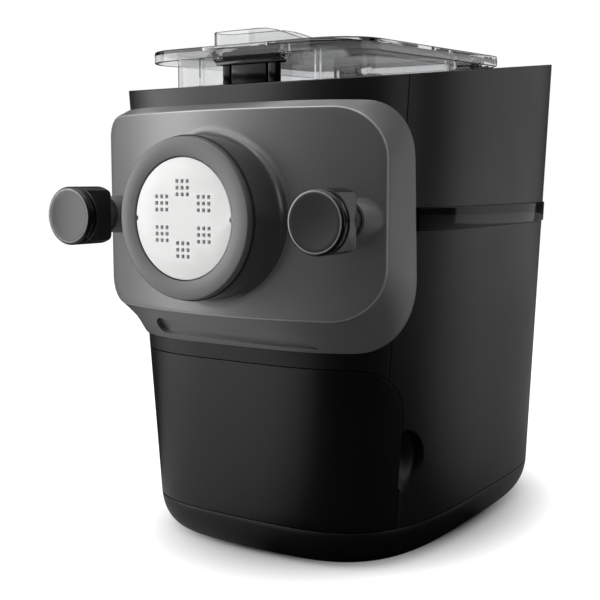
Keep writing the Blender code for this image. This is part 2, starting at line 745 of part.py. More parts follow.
def make_base():
    top = SEAM_Z - SEAM / 2
    outer = []
    inner = []
    floor = BASE_BOTTOM_Z + BASE_FLOOR
    for i in range(BASE_ROUND_STEPS + 1):
        turn = math.pi / 2 * i / BASE_ROUND_STEPS
        share = math.cos(turn)
        z = top - (top - BASE_BOTTOM_Z) * share
        outer.append(body_ring(z, BASE_INSET * (1 - math.sin(turn))))
        z = top - (top - floor) * share
        inner.append(body_ring(z, WALL + BASE_INSET * (1 - math.sin(turn))))
    base = loft("base_tray", "matte_black", outer + list(reversed(inner)))
    holes = []
    posts = []
    foot = floor - BASE_FLOOR / 2
    for side in (-1, 1):
        for y in (FOOT_FRONT_Y, FOOT_BACK_Y):
            reach = FOOT_STEM_RADIUS + FIT
            profile = ((-OVERRUN, reach), (SEAM_Z, reach))
            holes.append(upright(f"foot_hole_{side}_{y}", "steel", profile, TINY_SIDES, (side * FOOT_X, y)))
            step = 1 if y < 0 else -1
            post_y = y + step * (CELL_LENGTH - CELL_WIDTH)
            profile = ((foot, CELL_WIDTH / 2), (floor + CELL_LIFT - FIT, CELL_WIDTH / 2))
            posts.append(
                upright(f"cell_post_{side}_{y}", "steel", profile, POST_SIDES, (side * FOOT_X, post_y))
            )
        near, far = sorted((side * LEG_X, side * (LEG_X - LEG_WIDTH)))
        for y in (LEG_FRONT_Y, rear_leg_y()):
            low = (near, y - LEG_LENGTH / 2, foot)
            high = (far, y + LEG_LENGTH / 2, leg_foot_z() - FIT)
            posts.append(block(f"leg_ledge_{side}_{y}", "steel", low, high))
        for y in (BOARD_FRONT_Y + BOARD_POST, BOARD_BACK_Y - BOARD_POST):
            profile = ((foot, BOARD_POST / 2), (floor + BOARD_POST, BOARD_POST / 2))
            place = (side * (BOARD_HALF_WIDTH - BOARD_POST), y)
            posts.append(upright(f"board_post_{side}_{y}", "steel", profile, POST_SIDES, place))
    cut(base, gather("foot_holes", holes))
    return join(base, gather("base_posts", posts))


def floor_z():
    return BASE_BOTTOM_Z + BASE_FLOOR


def leg_foot_z():
    return floor_z() + BOARD_POST


def make_feet():
    feet = []
    for side, hand in ((-1, "left"), (1, "right")):
        for y, end in ((FOOT_FRONT_Y, "front"), (FOOT_BACK_Y, "rear")):
            sole = BASE_BOTTOM_Z - FIT
            profile = (
                (0, FOOT_RADIUS),
                (sole, FOOT_RADIUS),
                (sole, FOOT_STEM_RADIUS),
                (floor_z() + CELL_LIFT - FIT, FOOT_STEM_RADIUS),
            )
            feet.append(upright(f"foot_{end}_{hand}", "rubber", profile, TINY_SIDES, (side * FOOT_X, y)))
    return feet


def make_load_cells():
    """Weighing beams: one end on a foot's stem, the other on a post of the base."""
    for side, hand in ((-1, "left"), (1, "right")):
        for y, end in ((FOOT_FRONT_Y, "front"), (FOOT_BACK_Y, "rear")):
            step = 1 if y < 0 else -1
            ends = sorted((y - step * CELL_WIDTH / 2, y + step * (CELL_LENGTH - CELL_WIDTH / 2)))
            low = floor_z() + CELL_LIFT
            beam = block(
                f"load_cell_{end}_{hand}", "steel",
                (side * FOOT_X - CELL_WIDTH / 2, ends[0], low),
                (side * FOOT_X + CELL_WIDTH / 2, ends[1], low + CELL_HEIGHT),
            )
            middle = (ends[0] + ends[1]) / 2
            window = rounded_rectangle(
                middle - CELL_WIDTH / 2, middle + CELL_WIDTH / 2,
                low + CELL_HEIGHT / 4, low + CELL_HEIGHT * 3 / 4, (CELL_HEIGHT / 4,) * 4, steps=3,
            )
            across = prism(
                f"cell_window_{end}_{hand}", "steel", window,
                side * FOOT_X - CELL_WIDTH, side * FOOT_X + CELL_WIDTH, "x",
            )
            cut(beam, across)


# Drawer

def body_block(name, inset, low, high):
    """A solid body section, to trim inner pieces to the housing's shape."""
    return loft(name, "matte_black", [body_ring(low, inset), body_ring(high, inset)])


def make_drawer():
    low = SEAM_Z + SEAM / 2
    high = DRAWER_TOP_Z + OVERRUN
    rings = [body_ring(low), body_ring(high), body_ring(high, WALL), body_ring(low, WALL)]
    front = loft("drawer_front", "gloss_black", rings, closed=True)
    keep(front, side_profile("drawer_outline", DRAWER_EDGE_Y, DRAWER_TOP_Z, DRAWER_CORNER))
    inset = WALL + FIT
    tray = body_block("drawer_tray", inset, TRAY_BOTTOM_Z, TRAY_TOP_Z)
    bounds = block(
        "tray_bounds", "inner_plastic",
        (-TRAY_HALF_WIDTH, -FRONT_HIGH, TRAY_BOTTOM_Z - OVERRUN),
        (TRAY_HALF_WIDTH, TRAY_BACK_Y, TRAY_TOP_Z + OVERRUN),
    )
    keep(tray, bounds)
    room = body_block("tray_room", inset + TRAY_WALL, TRAY_BOTTOM_Z + TRAY_WALL, TRAY_TOP_Z + OVERRUN)
    room_bounds = block(
        "room_bounds", "inner_plastic",
        (-TRAY_HALF_WIDTH + TRAY_WALL, -FRONT_HIGH, TRAY_BOTTOM_Z),
        (TRAY_HALF_WIDTH - TRAY_WALL, TRAY_BACK_Y - TRAY_WALL, TRAY_TOP_Z + 2 * OVERRUN),
    )
    keep(room, room_bounds)
    cut(tray, room)
    tray.data.materials[0] = finish_material("inner_plastic")
    carry("drawer_slide", (0, TRAY_BACK_Y, TRAY_BOTTOM_Z), (front, tray))


def make_runners():
    for side, hand in ((-1, "left"), (1, "right")):
        block(
            f"drawer_runner_{hand}", "inner_plastic",
            (side * RUNNER_X - RUNNER_WIDTH / 2, LEG_FRONT_Y - LEG_LENGTH, floor_z() + FIT),
            (side * RUNNER_X + RUNNER_WIDTH / 2, TRAY_BACK_Y, TRAY_BOTTOM_Z - FIT),
        )


# Front panel

def face_depth(x):
    return FACE_Y + FACE_BOW * (x / FACE_HALF_WIDTH) ** 2


def rounded_reach(turn, half, up, down, corner):
    """Distance from the axis to a rounded rectangle's edge in the direction of turn."""
    across, rise = math.cos(turn), math.sin(turn)
    limit = up if rise > 0 else down
    reach = half / max(abs(across), 1e-9)
    if rise:
        reach = min(reach, limit / abs(rise))
    middle = Vector((half - corner, limit - corner))
    if reach * abs(across) > middle.x and reach * abs(rise) > middle.y:
        ray = Vector((abs(across), abs(rise)))
        along = ray.dot(middle)
        reach = along + math.sqrt(along ** 2 - middle.length_squared + corner ** 2)
    return reach


def panel_turns():
    """Directions from the axis, a little closer together towards the panel's corners."""
    even = [math.tau * i / PANEL_COLUMNS for i in range(PANEL_COLUMNS)]
    return [turn + PANEL_CROWD_SHARE * math.sin(4 * turn) for turn in even]


def round_ring(radius, depth):
    """Points round the axis; depth is a fixed y, or what to add to the curved face's y."""
    ring = []
    for turn in panel_turns():
        x = radius * math.cos(turn)
        ring.append((x, depth(x), AXIS_Z + radius * math.sin(turn)))
    return ring


def face_ring(inset, back):
    ring = []
    for turn in panel_turns():
        reach = rounded_reach(
            turn, FACE_HALF_WIDTH - inset, FACE_TOP_Z - AXIS_Z - inset,
            AXIS_Z - FACE_BOTTOM_Z - inset, max(FACE_CORNER - inset, FACE_CORNER / 2),
        )
        x = reach * math.cos(turn)
        ring.append((x, face_depth(x) + back, AXIS_Z + reach * math.sin(turn)))
    return ring


def front_arc(z, length, inset):
    """The body surface point that lies this far round from the middle of the front."""
    steps = 240
    turn = -math.pi / 2
    last = body_point(z, turn, inset)
    gone = 0.0
    for _ in range(steps):
        turn += math.pi / 2 / steps
        point = body_point(z, turn, inset)
        stride = (point - last).length
        if gone + stride >= length:
            return last.lerp(point, (length - gone) / stride)
        gone += stride
        last = point
    return last


def rim_half_length():
    """How far round the body the panel's side edge lies from the middle of the front."""
    steps = 240
    last = body_point(AXIS_Z, -math.pi / 2)
    gone = 0.0
    for i in range(1, steps + 1):
        point = body_point(AXIS_Z, math.pi / 2 * (i / steps - 1))
        gone += (point - last).length
        last = point
        if point.y > RIM_SIDE_Y:
            break
    return gone


def rim_edge_ring(inset, lift):
    """The panel's back edge on the body surface, drawn in by inset and lifted off by lift."""
    half = rim_half_length() - inset
    ring = []
    for turn in panel_turns():
        reach = rounded_reach(
            turn, half, RIM_TOP_Z - AXIS_Z - inset, AXIS_Z - RIM_BOTTOM_Z - inset, RIM_CORNER - inset
        )
        z = AXIS_Z + reach * math.sin(turn)
        across = reach * math.cos(turn)
        point = front_arc(z, abs(across), -lift)
        ring.append((math.copysign(point.x, across), point.y, z))
    return ring


def make_front_panel():
    wall = PANEL_WALL
    step = PANEL_EDGE_ROUND
    halfway = []
    for edge, turn in zip(face_ring(step, 0.0), panel_turns()):
        start = COLLAR_RADIUS + COLLAR_FILLET
        reach = (start + math.hypot(edge[0], edge[2] - AXIS_Z)) / 2
        x = reach * math.cos(turn)
        halfway.append((x, face_depth(x), AXIS_Z + reach * math.sin(turn)))
    flare = COLLAR_FILLET
    bend = 1 - math.sqrt(0.5)
    rings = [
        round_ring(COLLAR_RADIUS, lambda x: COLLAR_FRONT_Y),
        round_ring(COLLAR_RADIUS, lambda x: face_depth(x) - flare),
        round_ring(COLLAR_RADIUS + bend * flare, lambda x: face_depth(x) - bend * flare),
        round_ring(COLLAR_RADIUS + flare, face_depth),
        halfway,
        face_ring(step, 0.0),
        face_ring(0.0, step),
        rim_edge_ring(0.0, PANEL_PROUD_EDGE),
        rim_edge_ring(0.0, -FIT),
        rim_edge_ring(PANEL_RIM_WIDTH, -FIT),
        face_ring(wall, wall),
        round_ring(COLLAR_BORE, lambda x: face_depth(x) + wall),
        round_ring(COLLAR_BORE, lambda x: COLLAR_FRONT_Y),
    ]
    panel = loft("front_panel", "graphite", rings, closed=True)
    seat = body_block("panel_seat", -FIT, RIM_BOTTOM_Z - OVERRUN, RIM_TOP_Z + OVERRUN)
    bosses = []
    sockets = []
    for side in (-1, 1):
        centre = (side * KNOB_X, AXIS_Z)
        profile = ((BOSS_FRONT_Y, BOSS_FRONT_RADIUS), (BOSS_BACK_Y, BOSS_BACK_RADIUS))
        bosses.append(turned(f"knob_boss_{side}", "graphite", profile, DISH_SIDES, centre))
        neck = NECK_RADIUS + RUN
        stud = STUD_FLANGE_RADIUS + RUN
        profile = (
            (BOSS_FRONT_Y - OVERRUN, neck), (BOSS_FLOOR_Y, neck), (BOSS_FLOOR_Y, stud),
            (BOSS_BACK_Y + OVERRUN, stud),
        )
        sockets.append(turned(f"knob_socket_{side}", "graphite", profile, DISH_SIDES, centre))
    join(panel, gather("knob_bosses", bosses))
    return cut(panel, seat, gather("knob_sockets", sockets), grip_recess())


def grip_recess():
    """A long shallow recess in the lower bevel, for the fingers that pull the panel off."""
    bevel_run = section(RIM_BOTTOM_Z)[1] - FACE_Y
    bevel_rise = FACE_BOTTOM_Z - RIM_BOTTOM_Z
    length = math.hypot(bevel_run, bevel_rise)
    down = Vector((0, bevel_run / length, -bevel_rise / length))
    out = Vector((0, down.z, -down.y))
    place = GRIP_PLACE_SHARE
    centre = Vector((0, FACE_Y + bevel_run * place, FACE_BOTTOM_Z - bevel_rise * place))
    rings = []
    for depth, shrink in ((-OVERRUN, 0.0), (0.0, 0.0), (GRIP_DEPTH, GRIP_DEPTH)):
        ring = []
        for x, v in (
            (-GRIP_HALF_LENGTH + shrink, GRIP_RISE / 2 - shrink),
            (GRIP_HALF_LENGTH - shrink, GRIP_RISE / 2 - shrink),
            (GRIP_HALF_LENGTH - GRIP_SLANT, -GRIP_RISE / 2), (-GRIP_HALF_LENGTH + GRIP_SLANT, -GRIP_RISE / 2),
        ):
            ring.append(centre + Vector((x, 0, 0)) + v * down - depth * out)
        rings.append(ring)
    return loft("grip_recess", "graphite", rings)


def make_knob(side, hand):
    centre = (side * KNOB_X, AXIS_Z)
    cap_back = KNOB_FACE_Y + KNOB_CAP
    cap = turned(
        f"{hand}_knob_cap", "gloss_black",
        (
            (KNOB_FACE_Y + KNOB_DISH, KNOB_RADIUS - 2 * KNOB_CHAMFER),
            (KNOB_FACE_Y, KNOB_RADIUS - KNOB_CHAMFER),
            (KNOB_FACE_Y + KNOB_CHAMFER, KNOB_RADIUS),
            (cap_back - FIT, KNOB_RADIUS),
        ),
        KNOB_SIDES, centre,
    )
    groove_back = cap_back + KNOB_GROOVE
    body = turned(
        f"{hand}_knob_grip", "gloss_black",
        (
            (cap_back, KNOB_RADIUS - KNOB_GROOVE_DEPTH),
            (groove_back, KNOB_RADIUS - KNOB_GROOVE_DEPTH),
            (groove_back, KNOB_RADIUS),
            (KNOB_BACK_Y - KNOB_BACK_ROUND, KNOB_RADIUS),
            (KNOB_BACK_Y - KNOB_BACK_ROUND / 3, KNOB_RADIUS - KNOB_BACK_ROUND / 3),
            (KNOB_BACK_Y, KNOB_RADIUS - KNOB_BACK_ROUND),
            (KNOB_BACK_Y, NECK_RADIUS),
            (NECK_BACK_Y, NECK_RADIUS),
        ),
        KNOB_SIDES, centre,
    )
    for flat in (-1, 1):
        outer = side * KNOB_X + flat * 2 * KNOB_RADIUS
        inner = side * KNOB_X + flat * KNOB_FLAT_X
        shave = block(
            f"{hand}_knob_flat_{flat}", "gloss_black",
            (min(outer, inner), groove_back + KNOB_GROOVE, AXIS_Z - 2 * KNOB_RADIUS),
            (max(outer, inner), KNOB_BACK_Y + KNOB_BACK_ROUND / 3, AXIS_Z + 2 * KNOB_RADIUS),
        )
        cut(body, shave)
    cut(body, hole(f"{hand}_knob_bore", STUD_RADIUS + FIT, STUD_FRONT_Y - RUN, NECK_BACK_Y + OVERRUN, centre))
    carry(f"{hand}_knob_axis", (centre[0], NECK_BACK_Y, AXIS_Z), (cap, body))


def make_stud(side, hand):
    flange_front = FRONT_PLATE_Y - FIT - STUD_FLANGE
    return turned(
        f"knob_stud_{hand}", "steel",
        (
            (STUD_FRONT_Y, STUD_RADIUS),
            (flange_front, STUD_RADIUS), (flange_front, STUD_FLANGE_RADIUS),
            (FRONT_PLATE_Y - FIT, STUD_FLANGE_RADIUS),
            (FRONT_PLATE_Y - FIT, STUD_RADIUS * 3 / 4),
            (FRONT_PLATE_Y + PLATE, STUD_RADIUS * 3 / 4),
        ),
        TINY_SIDES, (side * KNOB_X, AXIS_Z),
    )


# Shaping disc, cap ring and extrusion tube

def make_cap_ring():
    lip_back = RING_FRONT_Y + RING_LIP
    edge = (RING_RADIUS - RING_SKIRT_RADIUS) / 4
    ring = turned(
        "disc_cap_ring", "ring_grey",
        (
            (RING_FRONT_Y, RING_WINDOW), (RING_FRONT_Y, RING_RADIUS - edge),
            (RING_FRONT_Y + edge, RING_RADIUS), (lip_back, RING_RADIUS),
            (lip_back, RING_SKIRT_RADIUS), (RING_BACK_Y, RING_SKIRT_RADIUS),
            (RING_BACK_Y, RING_SKIRT_BORE), (lip_back, RING_SKIRT_BORE), (lip_back, RING_WINDOW),
        ),
        ROUND_SIDES, (0, AXIS_Z), hollow=True,
    )
    carry("cap_ring_axis", (0, RING_BACK_Y, AXIS_Z), (ring,))


def hole_places():
    """Centres of the disc's holes: groups on a circle, each a small square grid."""
    places = []
    for group in range(DISC_GROUPS):
        turn = math.pi / 2 + math.tau * group / DISC_GROUPS
        x = DISC_GROUP_RADIUS * math.cos(turn)
        z = DISC_GROUP_RADIUS * math.sin(turn)
        for i in range(DISC_ROW):
            for j in range(DISC_ROW):
                shift = (DISC_ROW - 1) / 2
                places.append((x + (i - shift) * DISC_PITCH, AXIS_Z + z + (j - shift) * DISC_PITCH))
    return places


def make_disc():
    flange_front = RING_FRONT_Y + RING_LIP + FIT
    disc = turned(
        "shaping_disc", "disc_white",
        (
            (DISC_FRONT_Y, RING_WINDOW - RUN), (flange_front, RING_WINDOW - RUN),
            (flange_front, DISC_FLANGE_RADIUS), (DISC_BACK_Y, DISC_FLANGE_RADIUS),
            (DISC_BACK_Y, DISC_POCKET_RADIUS), (DISC_BACK_Y - DISC_POCKET_DEPTH, DISC_POCKET_RADIUS),
        ),
        ROUND_SIDES, (0, AXIS_Z),
    )
    bm = bmesh.new()
    half = DISC_HOLE / 2
    for x, z in hole_places():
        rows = []
        for y in (DISC_FRONT_Y - OVERRUN, DISC_BACK_Y + OVERRUN):
            corners = ((x - half, z - half), (x + half, z - half), (x + half, z + half), (x - half, z + half))
            rows.append([bm.verts.new((a, y, b)) for a, b in corners])
        for i in range(4):
            j = (i + 1) % 4
            bm.faces.new((rows[0][i], rows[0][j], rows[1][j], rows[1][i]))
        bm.faces.new(list(reversed(rows[0])))
        bm.faces.new(rows[1])
    holes = solid("disc_holes", "disc_white", bm)
    return cut(disc, holes)


def make_tube():
    flange_front = DISC_BACK_Y + FIT
    back = CHAMBER_FRONT_Y + CHAMBER_WALL
    return turned(
        "extrusion_tube", "inner_plastic",
        (
            (flange_front, TUBE_BORE), (flange_front, TUBE_FLANGE_RADIUS),
            (flange_front + TUBE_FLANGE, TUBE_FLANGE_RADIUS), (flange_front + TUBE_FLANGE, TUBE_RADIUS),
            (back, TUBE_RADIUS), (back, TUBE_BORE),
        ),
        ROUND_SIDES, (0, AXIS_Z), hollow=True,
    )


# Mixing chamber

def chamber_top(y):
    """Height of the chamber's rim: just under the lid's ceiling, which slopes with the lid."""
    return lid_height(y, LID_WALL) - RUN


def trough_ring(y, half, top):
    ring = [(half, y, top), (half, y, AXIS_Z)]
    for i in range(1, CHAMBER_ARC_STEPS):
        turn = -math.pi * i / CHAMBER_ARC_STEPS
        ring.append((half * math.cos(turn), y, AXIS_Z + half * math.sin(turn)))
    ring += [(-half, y, AXIS_Z), (-half, y, top)]
    return ring


def trough(name, inset, rise):
    """A U-shaped tub whose front and back edges are rounded."""
    stations = []
    edge = CHAMBER_ROUND - inset
    for i in range(CHAMBER_ROUND_STEPS + 1):
        turn = math.pi / 2 * i / CHAMBER_ROUND_STEPS
        stations.append((edge * (1 - math.sin(turn)), edge * (1 - math.cos(turn))))
    half = CHAMBER_HALF_WIDTH - inset
    front = CHAMBER_FRONT_Y + inset
    back = CHAMBER_BACK_Y - inset
    rings = [trough_ring(front + run, half - draw, chamber_top(front + run) + rise) for draw, run in stations]
    rings += [
        trough_ring(back - run, half - draw, chamber_top(back - run) + rise)
        for draw, run in reversed(stations)
    ]
    return loft(name, "clear", rings)


def make_chamber():
    chamber = trough("mixing_chamber", 0.0, 0.0)
    room = trough("chamber_room", CHAMBER_WALL, OVERRUN)
    front_hole = turned(
        "tube_hole", "clear",
        ((CHAMBER_FRONT_Y - OVERRUN, TUBE_RADIUS + FIT), (CHAMBER_FRONT_Y + 2 * OVERRUN, TUBE_RADIUS + FIT)),
        ROUND_SIDES, (0, AXIS_Z),
    )
    back_hole = hole(
        "seal_hole", seal_radius() + FIT, CHAMBER_BACK_Y - 2 * OVERRUN, CHAMBER_BACK_Y + OVERRUN, (0, AXIS_Z)
    )
    return cut(chamber, room, front_hole, back_hole)


def seal_radius():
    return SHAFT_RADIUS + 2 * CHAMBER_WALL


def make_seal():
    flange = seal_radius() + CHAMBER_WALL
    inner = CHAMBER_BACK_Y - CHAMBER_WALL - FIT
    return turned(
        "chamber_seal", "rubber",
        (
            (inner - CHAMBER_WALL / 2, SHAFT_RADIUS + FIT), (inner - CHAMBER_WALL / 2, flange),
            (inner, flange), (inner, seal_radius()), (rear_plate_y() - FIT, seal_radius()),
            (rear_plate_y() - FIT, SHAFT_RADIUS + FIT),
        ),
        SMALL_SIDES, (0, AXIS_Z), hollow=True,
    )


# Paddle and screw

def make_paddle():
    centre = (0, AXIS_Z)
    paddle = turned(
        "mixing_paddle", "inner_plastic",
        ((PADDLE_FRONT_Y, PADDLE_HUB), (PADDLE_BACK_Y, PADDLE_HUB)), SMALL_SIDES, centre,
    )
    length = PADDLE_BACK_Y - PADDLE_FRONT_Y
    for arm in range(PADDLE_ARMS):
        y = PADDLE_FRONT_Y + length * (PADDLE_FIRST_SHARE + PADDLE_STEP_SHARE * arm)
        turn = -math.pi / 2 + math.tau * arm / PADDLE_ARMS
        out = Vector((math.cos(turn), 0, math.sin(turn)))
        side = Vector((-math.sin(turn), 0, math.cos(turn)))
        rings = []
        for i in range(PADDLE_STEPS + 1):
            share = i / PADDLE_STEPS
            reach = PADDLE_HUB / 2 + (PADDLE_REACH - PADDLE_HUB / 2) * share
            lean = math.tau * (PADDLE_LEAN_SHARE + PADDLE_TWIST_SHARE * share)
            wide = Vector((0, math.cos(lean), 0)) + side * math.sin(lean)
            thick = Vector((0, -math.sin(lean), 0)) + side * math.cos(lean)
            half = PADDLE_BLADE / 2
            thin = PADDLE_THICKNESS / 2 * (1 - share / 3)
            place = Vector((0, y, AXIS_Z)) + out * math.sqrt(reach ** 2 - (half * math.sin(lean)) ** 2 * share)
            ring = []
            edges = (
                (-half, 0), (-half / 2, -thin), (half / 2, -thin),
                (half, 0), (half / 2, thin), (-half / 2, thin),
            )
            for a, b in edges:
                ring.append(place + wide * a + thick * b)
            rings.append(ring)
        join(paddle, loft(f"paddle_arm_{arm}", "inner_plastic", rings))
    return cut(
        paddle, hole("paddle_bore", SHAFT_RADIUS + FIT, SHAFT_FRONT_Y - RUN, PADDLE_BACK_Y + OVERRUN, centre)
    )


def make_screw():
    """A core with one helical flight that runs its whole length and ends in a blunt nose."""
    centre = (0, AXIS_Z)
    nose = SCREW_FRONT_Y
    screw = turned(
        "extrusion_screw", "inner_plastic",
        (
            (nose, SCREW_CORE * 2 / 3), (nose + SCREW_CORE / 3, SCREW_CORE),
            (SCREW_BACK_Y, SCREW_CORE),
        ),
        SCREW_TURN_STEPS, centre,
    )
    start = nose + SCREW_CORE / 3 + SCREW_FLIGHT_FOOT / 2
    end = SCREW_BACK_Y - SCREW_FLIGHT_FOOT / 2
    steps = round((end - start) / SCREW_PITCH * SCREW_TURN_STEPS)
    rings = []
    root = SCREW_CORE * SCREW_ROOT_SHARE
    for i in range(steps + 1):
        share = i / steps
        turn = math.tau * (end - start) / SCREW_PITCH * share + math.pi / SCREW_TURN_STEPS
        y = start + (end - start) * share
        ring = []
        corners = (
            (-SCREW_FLIGHT_FOOT / 2, root), (SCREW_FLIGHT_FOOT / 2, root),
            (SCREW_FLIGHT_TIP / 2, SCREW_REACH), (-SCREW_FLIGHT_TIP / 2, SCREW_REACH),
        )
        for along, radius in corners:
            ring.append((radius * math.cos(turn), y + along, AXIS_Z + radius * math.sin(turn)))
        rings.append(ring)
    return join(screw, loft("screw_flight", "inner_plastic", rings))


# Gears and shafts

def gear_outline(teeth, module, centre, tooth_turn, flank_points, backlash=GEAR_BACKLASH):
    """Involute teeth; tooth_turn is the direction of one tooth's middle."""
    pressure = math.tau * GEAR_ANGLE_SHARE
    pitch = teeth * module / 2
    base = pitch * math.cos(pressure)
    root = pitch - GEAR_ROOT_SHARE * module
    tip = pitch + module

    def involute(radius):
        angle = math.acos(min(base / radius, 1))
        return math.tan(angle) - angle

    def half_turn(radius):
        at_pitch = math.pi / (2 * teeth) - backlash / (2 * pitch)
        return at_pitch + involute(pitch) - involute(max(radius, base))

    radii = [root + (tip - root) * i / (flank_points - 1) for i in range(flank_points)]
    points = []
    for tooth in range(teeth):
        middle = tooth_turn + math.tau * tooth / teeth
        flank = [(radius, -half_turn(radius)) for radius in radii]
        flank += [(radius, half_turn(radius)) for radius in reversed(radii)]
        for radius, shift in flank:
            turn = middle + shift
            points.append((centre[0] + radius * math.cos(turn), centre[1] + radius * math.sin(turn)))
    return points


def idler_z():
    return AXIS_Z - (OUTPUT_TEETH + PINION_TEETH) * OUTPUT_MODULE / 2 - GEAR_PLAY


def motor_z():
    return idler_z() - (IDLER_TEETH + PINION_TEETH) * IDLER_MODULE / 2 - GEAR_PLAY


def rear_plate_y():
    return CHAMBER_BACK_Y + CHAMBER_WALL + FIT


def case_front_y():
    return rear_plate_y() + PLATE + FIT


def stage_a_y():
    return case_front_y() + CASE_WALL + BEARING_WIDTH / 2 + RUN


def stage_b_y():
    return stage_a_y() + STAGE_A_WIDTH + RUN


def case_back_y():
    return case_front_y() + CASE_DEPTH


def gap_turn(teeth):
    """Turns a pinion so that the space between two teeth points straight up."""
    return math.pi / 2 + math.pi / teeth


def make_drive():
    centre = (0, AXIS_Z)
    shaft = turned(
        "drive_shaft", "steel",
        ((SHAFT_FRONT_Y, SHAFT_RADIUS), (case_back_y() + CASE_WALL, SHAFT_RADIUS)), TINY_SIDES, centre,
    )
    outline = gear_outline(OUTPUT_TEETH, OUTPUT_MODULE, centre, -math.pi / 2, 2)
    gear = prism("output_gear", "gear_plastic", outline, stage_a_y(), stage_a_y() + STAGE_A_WIDTH, "y")
    hub = turned(
        "output_hub", "gear_plastic",
        (
            (stage_a_y() - RUN / 2, 2 * SHAFT_RADIUS),
            (case_back_y() - BEARING_WIDTH - RUN, 2 * SHAFT_RADIUS),
        ),
        SMALL_SIDES, centre,
    )
    join(gear, hub)
    cut(gear, hole("output_bore", SHAFT_RADIUS + FIT, case_front_y(), case_back_y() + OVERRUN, centre))
    for number in range(GEAR_WINDOWS):
        turn = math.tau * (number + 0.5) / GEAR_WINDOWS
        reach = OUTPUT_TEETH * OUTPUT_MODULE * GEAR_WINDOW_SHARE
        place = (reach * math.cos(turn), AXIS_Z + reach * math.sin(turn))
        end = stage_a_y() + STAGE_A_WIDTH + OVERRUN
        cut(gear, hole(f"gear_window_{number}", reach / 3, stage_a_y() - OVERRUN, end, place, 8))
    carry("drive_axis", (0, CHAMBER_BACK_Y, AXIS_Z), (make_screw(), make_paddle(), shaft, gear))


def make_idler():
    centre = (0, idler_z())
    pinion = gear_outline(PINION_TEETH, OUTPUT_MODULE, centre, gap_turn(PINION_TEETH), 3)
    gear = prism("idler_gear", "gear_plastic", pinion, stage_a_y(), stage_b_y() + RUN, "y")
    wheel = gear_outline(IDLER_TEETH, IDLER_MODULE, centre, -math.pi / 2, 2)
    big = prism("idler_wheel", "gear_plastic", wheel, stage_b_y(), stage_b_y() + STAGE_B_WIDTH, "y")
    join(gear, big)
    cut(gear, hole("idler_bore", AXLE_RADIUS + FIT, case_front_y(), case_back_y(), centre, TINY_SIDES))
    carry("idler_axis", (0, stage_b_y(), idler_z()), (gear,))
    turned(
        "idler_axle", "steel",
        ((case_front_y() + RUN, AXLE_RADIUS), (case_back_y() + CASE_WALL - RUN, AXLE_RADIUS)),
        TINY_SIDES, centre,
    )


def motor_back_y():
    return rear_plate_y() - FIT


def motor_front_y():
    return motor_back_y() - MOTOR_LENGTH


def make_motor():
    centre = (0, motor_z())
    edge = MOTOR_RADIUS * MOTOR_EDGE_SHARE
    can = turned(
        "motor_can", "steel",
        (
            (motor_front_y(), MOTOR_RADIUS - edge), (motor_front_y() + edge, MOTOR_RADIUS),
            (motor_back_y() - edge, MOTOR_RADIUS), (motor_back_y(), MOTOR_RADIUS - edge),
            (motor_back_y(), MOTOR_NOSE), (case_front_y() + CASE_WALL / 2, MOTOR_NOSE),
        ),
        MOTOR_SIDES, centre,
    )
    fit = MOTOR_SHAFT_RADIUS + FIT
    end = case_front_y() + CASE_WALL + OVERRUN
    cut(can, hole("motor_bore", fit, motor_front_y() - OVERRUN, end, centre, TINY_SIDES))
    tooth = gap_turn(PINION_TEETH)
    pinion = gear_outline(PINION_TEETH, IDLER_MODULE, centre, tooth, 3)
    rotor = prism("motor_rotor", "steel", pinion, stage_b_y(), stage_b_y() + STAGE_B_WIDTH, "y")
    spindle = turned(
        "motor_spindle", "steel",
        (
            (motor_front_y() - FAN_WIDTH - 2 * RUN, MOTOR_SHAFT_RADIUS),
            (case_back_y() - CASE_WALL, MOTOR_SHAFT_RADIUS),
        ),
        TINY_SIDES, centre,
    )
    join(rotor, spindle)
    fan_back = motor_front_y() - RUN
    blades = []
    hub = FAN_RADIUS * FAN_HUB_SHARE
    corners = (
        (hub, FAN_HUB_TURN_SHARES[0]), (FAN_RADIUS, FAN_TIP_TURN_SHARES[0]),
        (FAN_RADIUS, FAN_TIP_TURN_SHARES[1]), (hub, FAN_HUB_TURN_SHARES[1]),
    )
    for blade in range(FAN_BLADES):
        for radius, share in corners:
            turn = math.tau * (blade / FAN_BLADES + share)
            blades.append((radius * math.cos(turn), motor_z() + radius * math.sin(turn)))
    fan = prism("cooling_fan", "inner_plastic", blades, fan_back - FAN_WIDTH, fan_back, "y")
    cut(fan, hole("fan_bore", fit, fan_back - FAN_WIDTH - OVERRUN, fan_back + OVERRUN, centre, TINY_SIDES))
    carry("motor_axis", (0, motor_back_y(), motor_z()), (rotor, fan))


def case_outline(shrink):
    """The hull of circles round the three gear axes, as one outline of (x, z)."""
    wheels = (
        (AXIS_Z, (OUTPUT_TEETH / 2 + 1) * OUTPUT_MODULE),
        (idler_z(), (IDLER_TEETH / 2 + 1) * IDLER_MODULE),
        (motor_z(), (PINION_TEETH / 2 + 1) * IDLER_MODULE),
    )
    grow = CASE_ROOM + CASE_WALL - shrink
    (top, first), (middle, second), (low, third) = [(z, radius + grow) for z, radius in wheels]
    points = []

    def arc(z, radius, start, end, steps):
        for i in range(steps + 1):
            turn = start + (end - start) * i / steps
            points.append((radius * math.cos(turn), z + radius * math.sin(turn)))

    lean_top = math.asin((first - second) / (top - middle))
    lean_low = math.asin((second - third) / (middle - low))
    arc(top, first, -lean_top, math.pi + lean_top, 2 * CASE_STEPS)
    arc(middle, second, math.pi + lean_top, math.pi + lean_low, CASE_STEPS // 2)
    arc(low, third, math.pi + lean_low, math.tau - lean_low, CASE_STEPS)
    arc(middle, second, -lean_low, -lean_top, CASE_STEPS // 2)
    return points


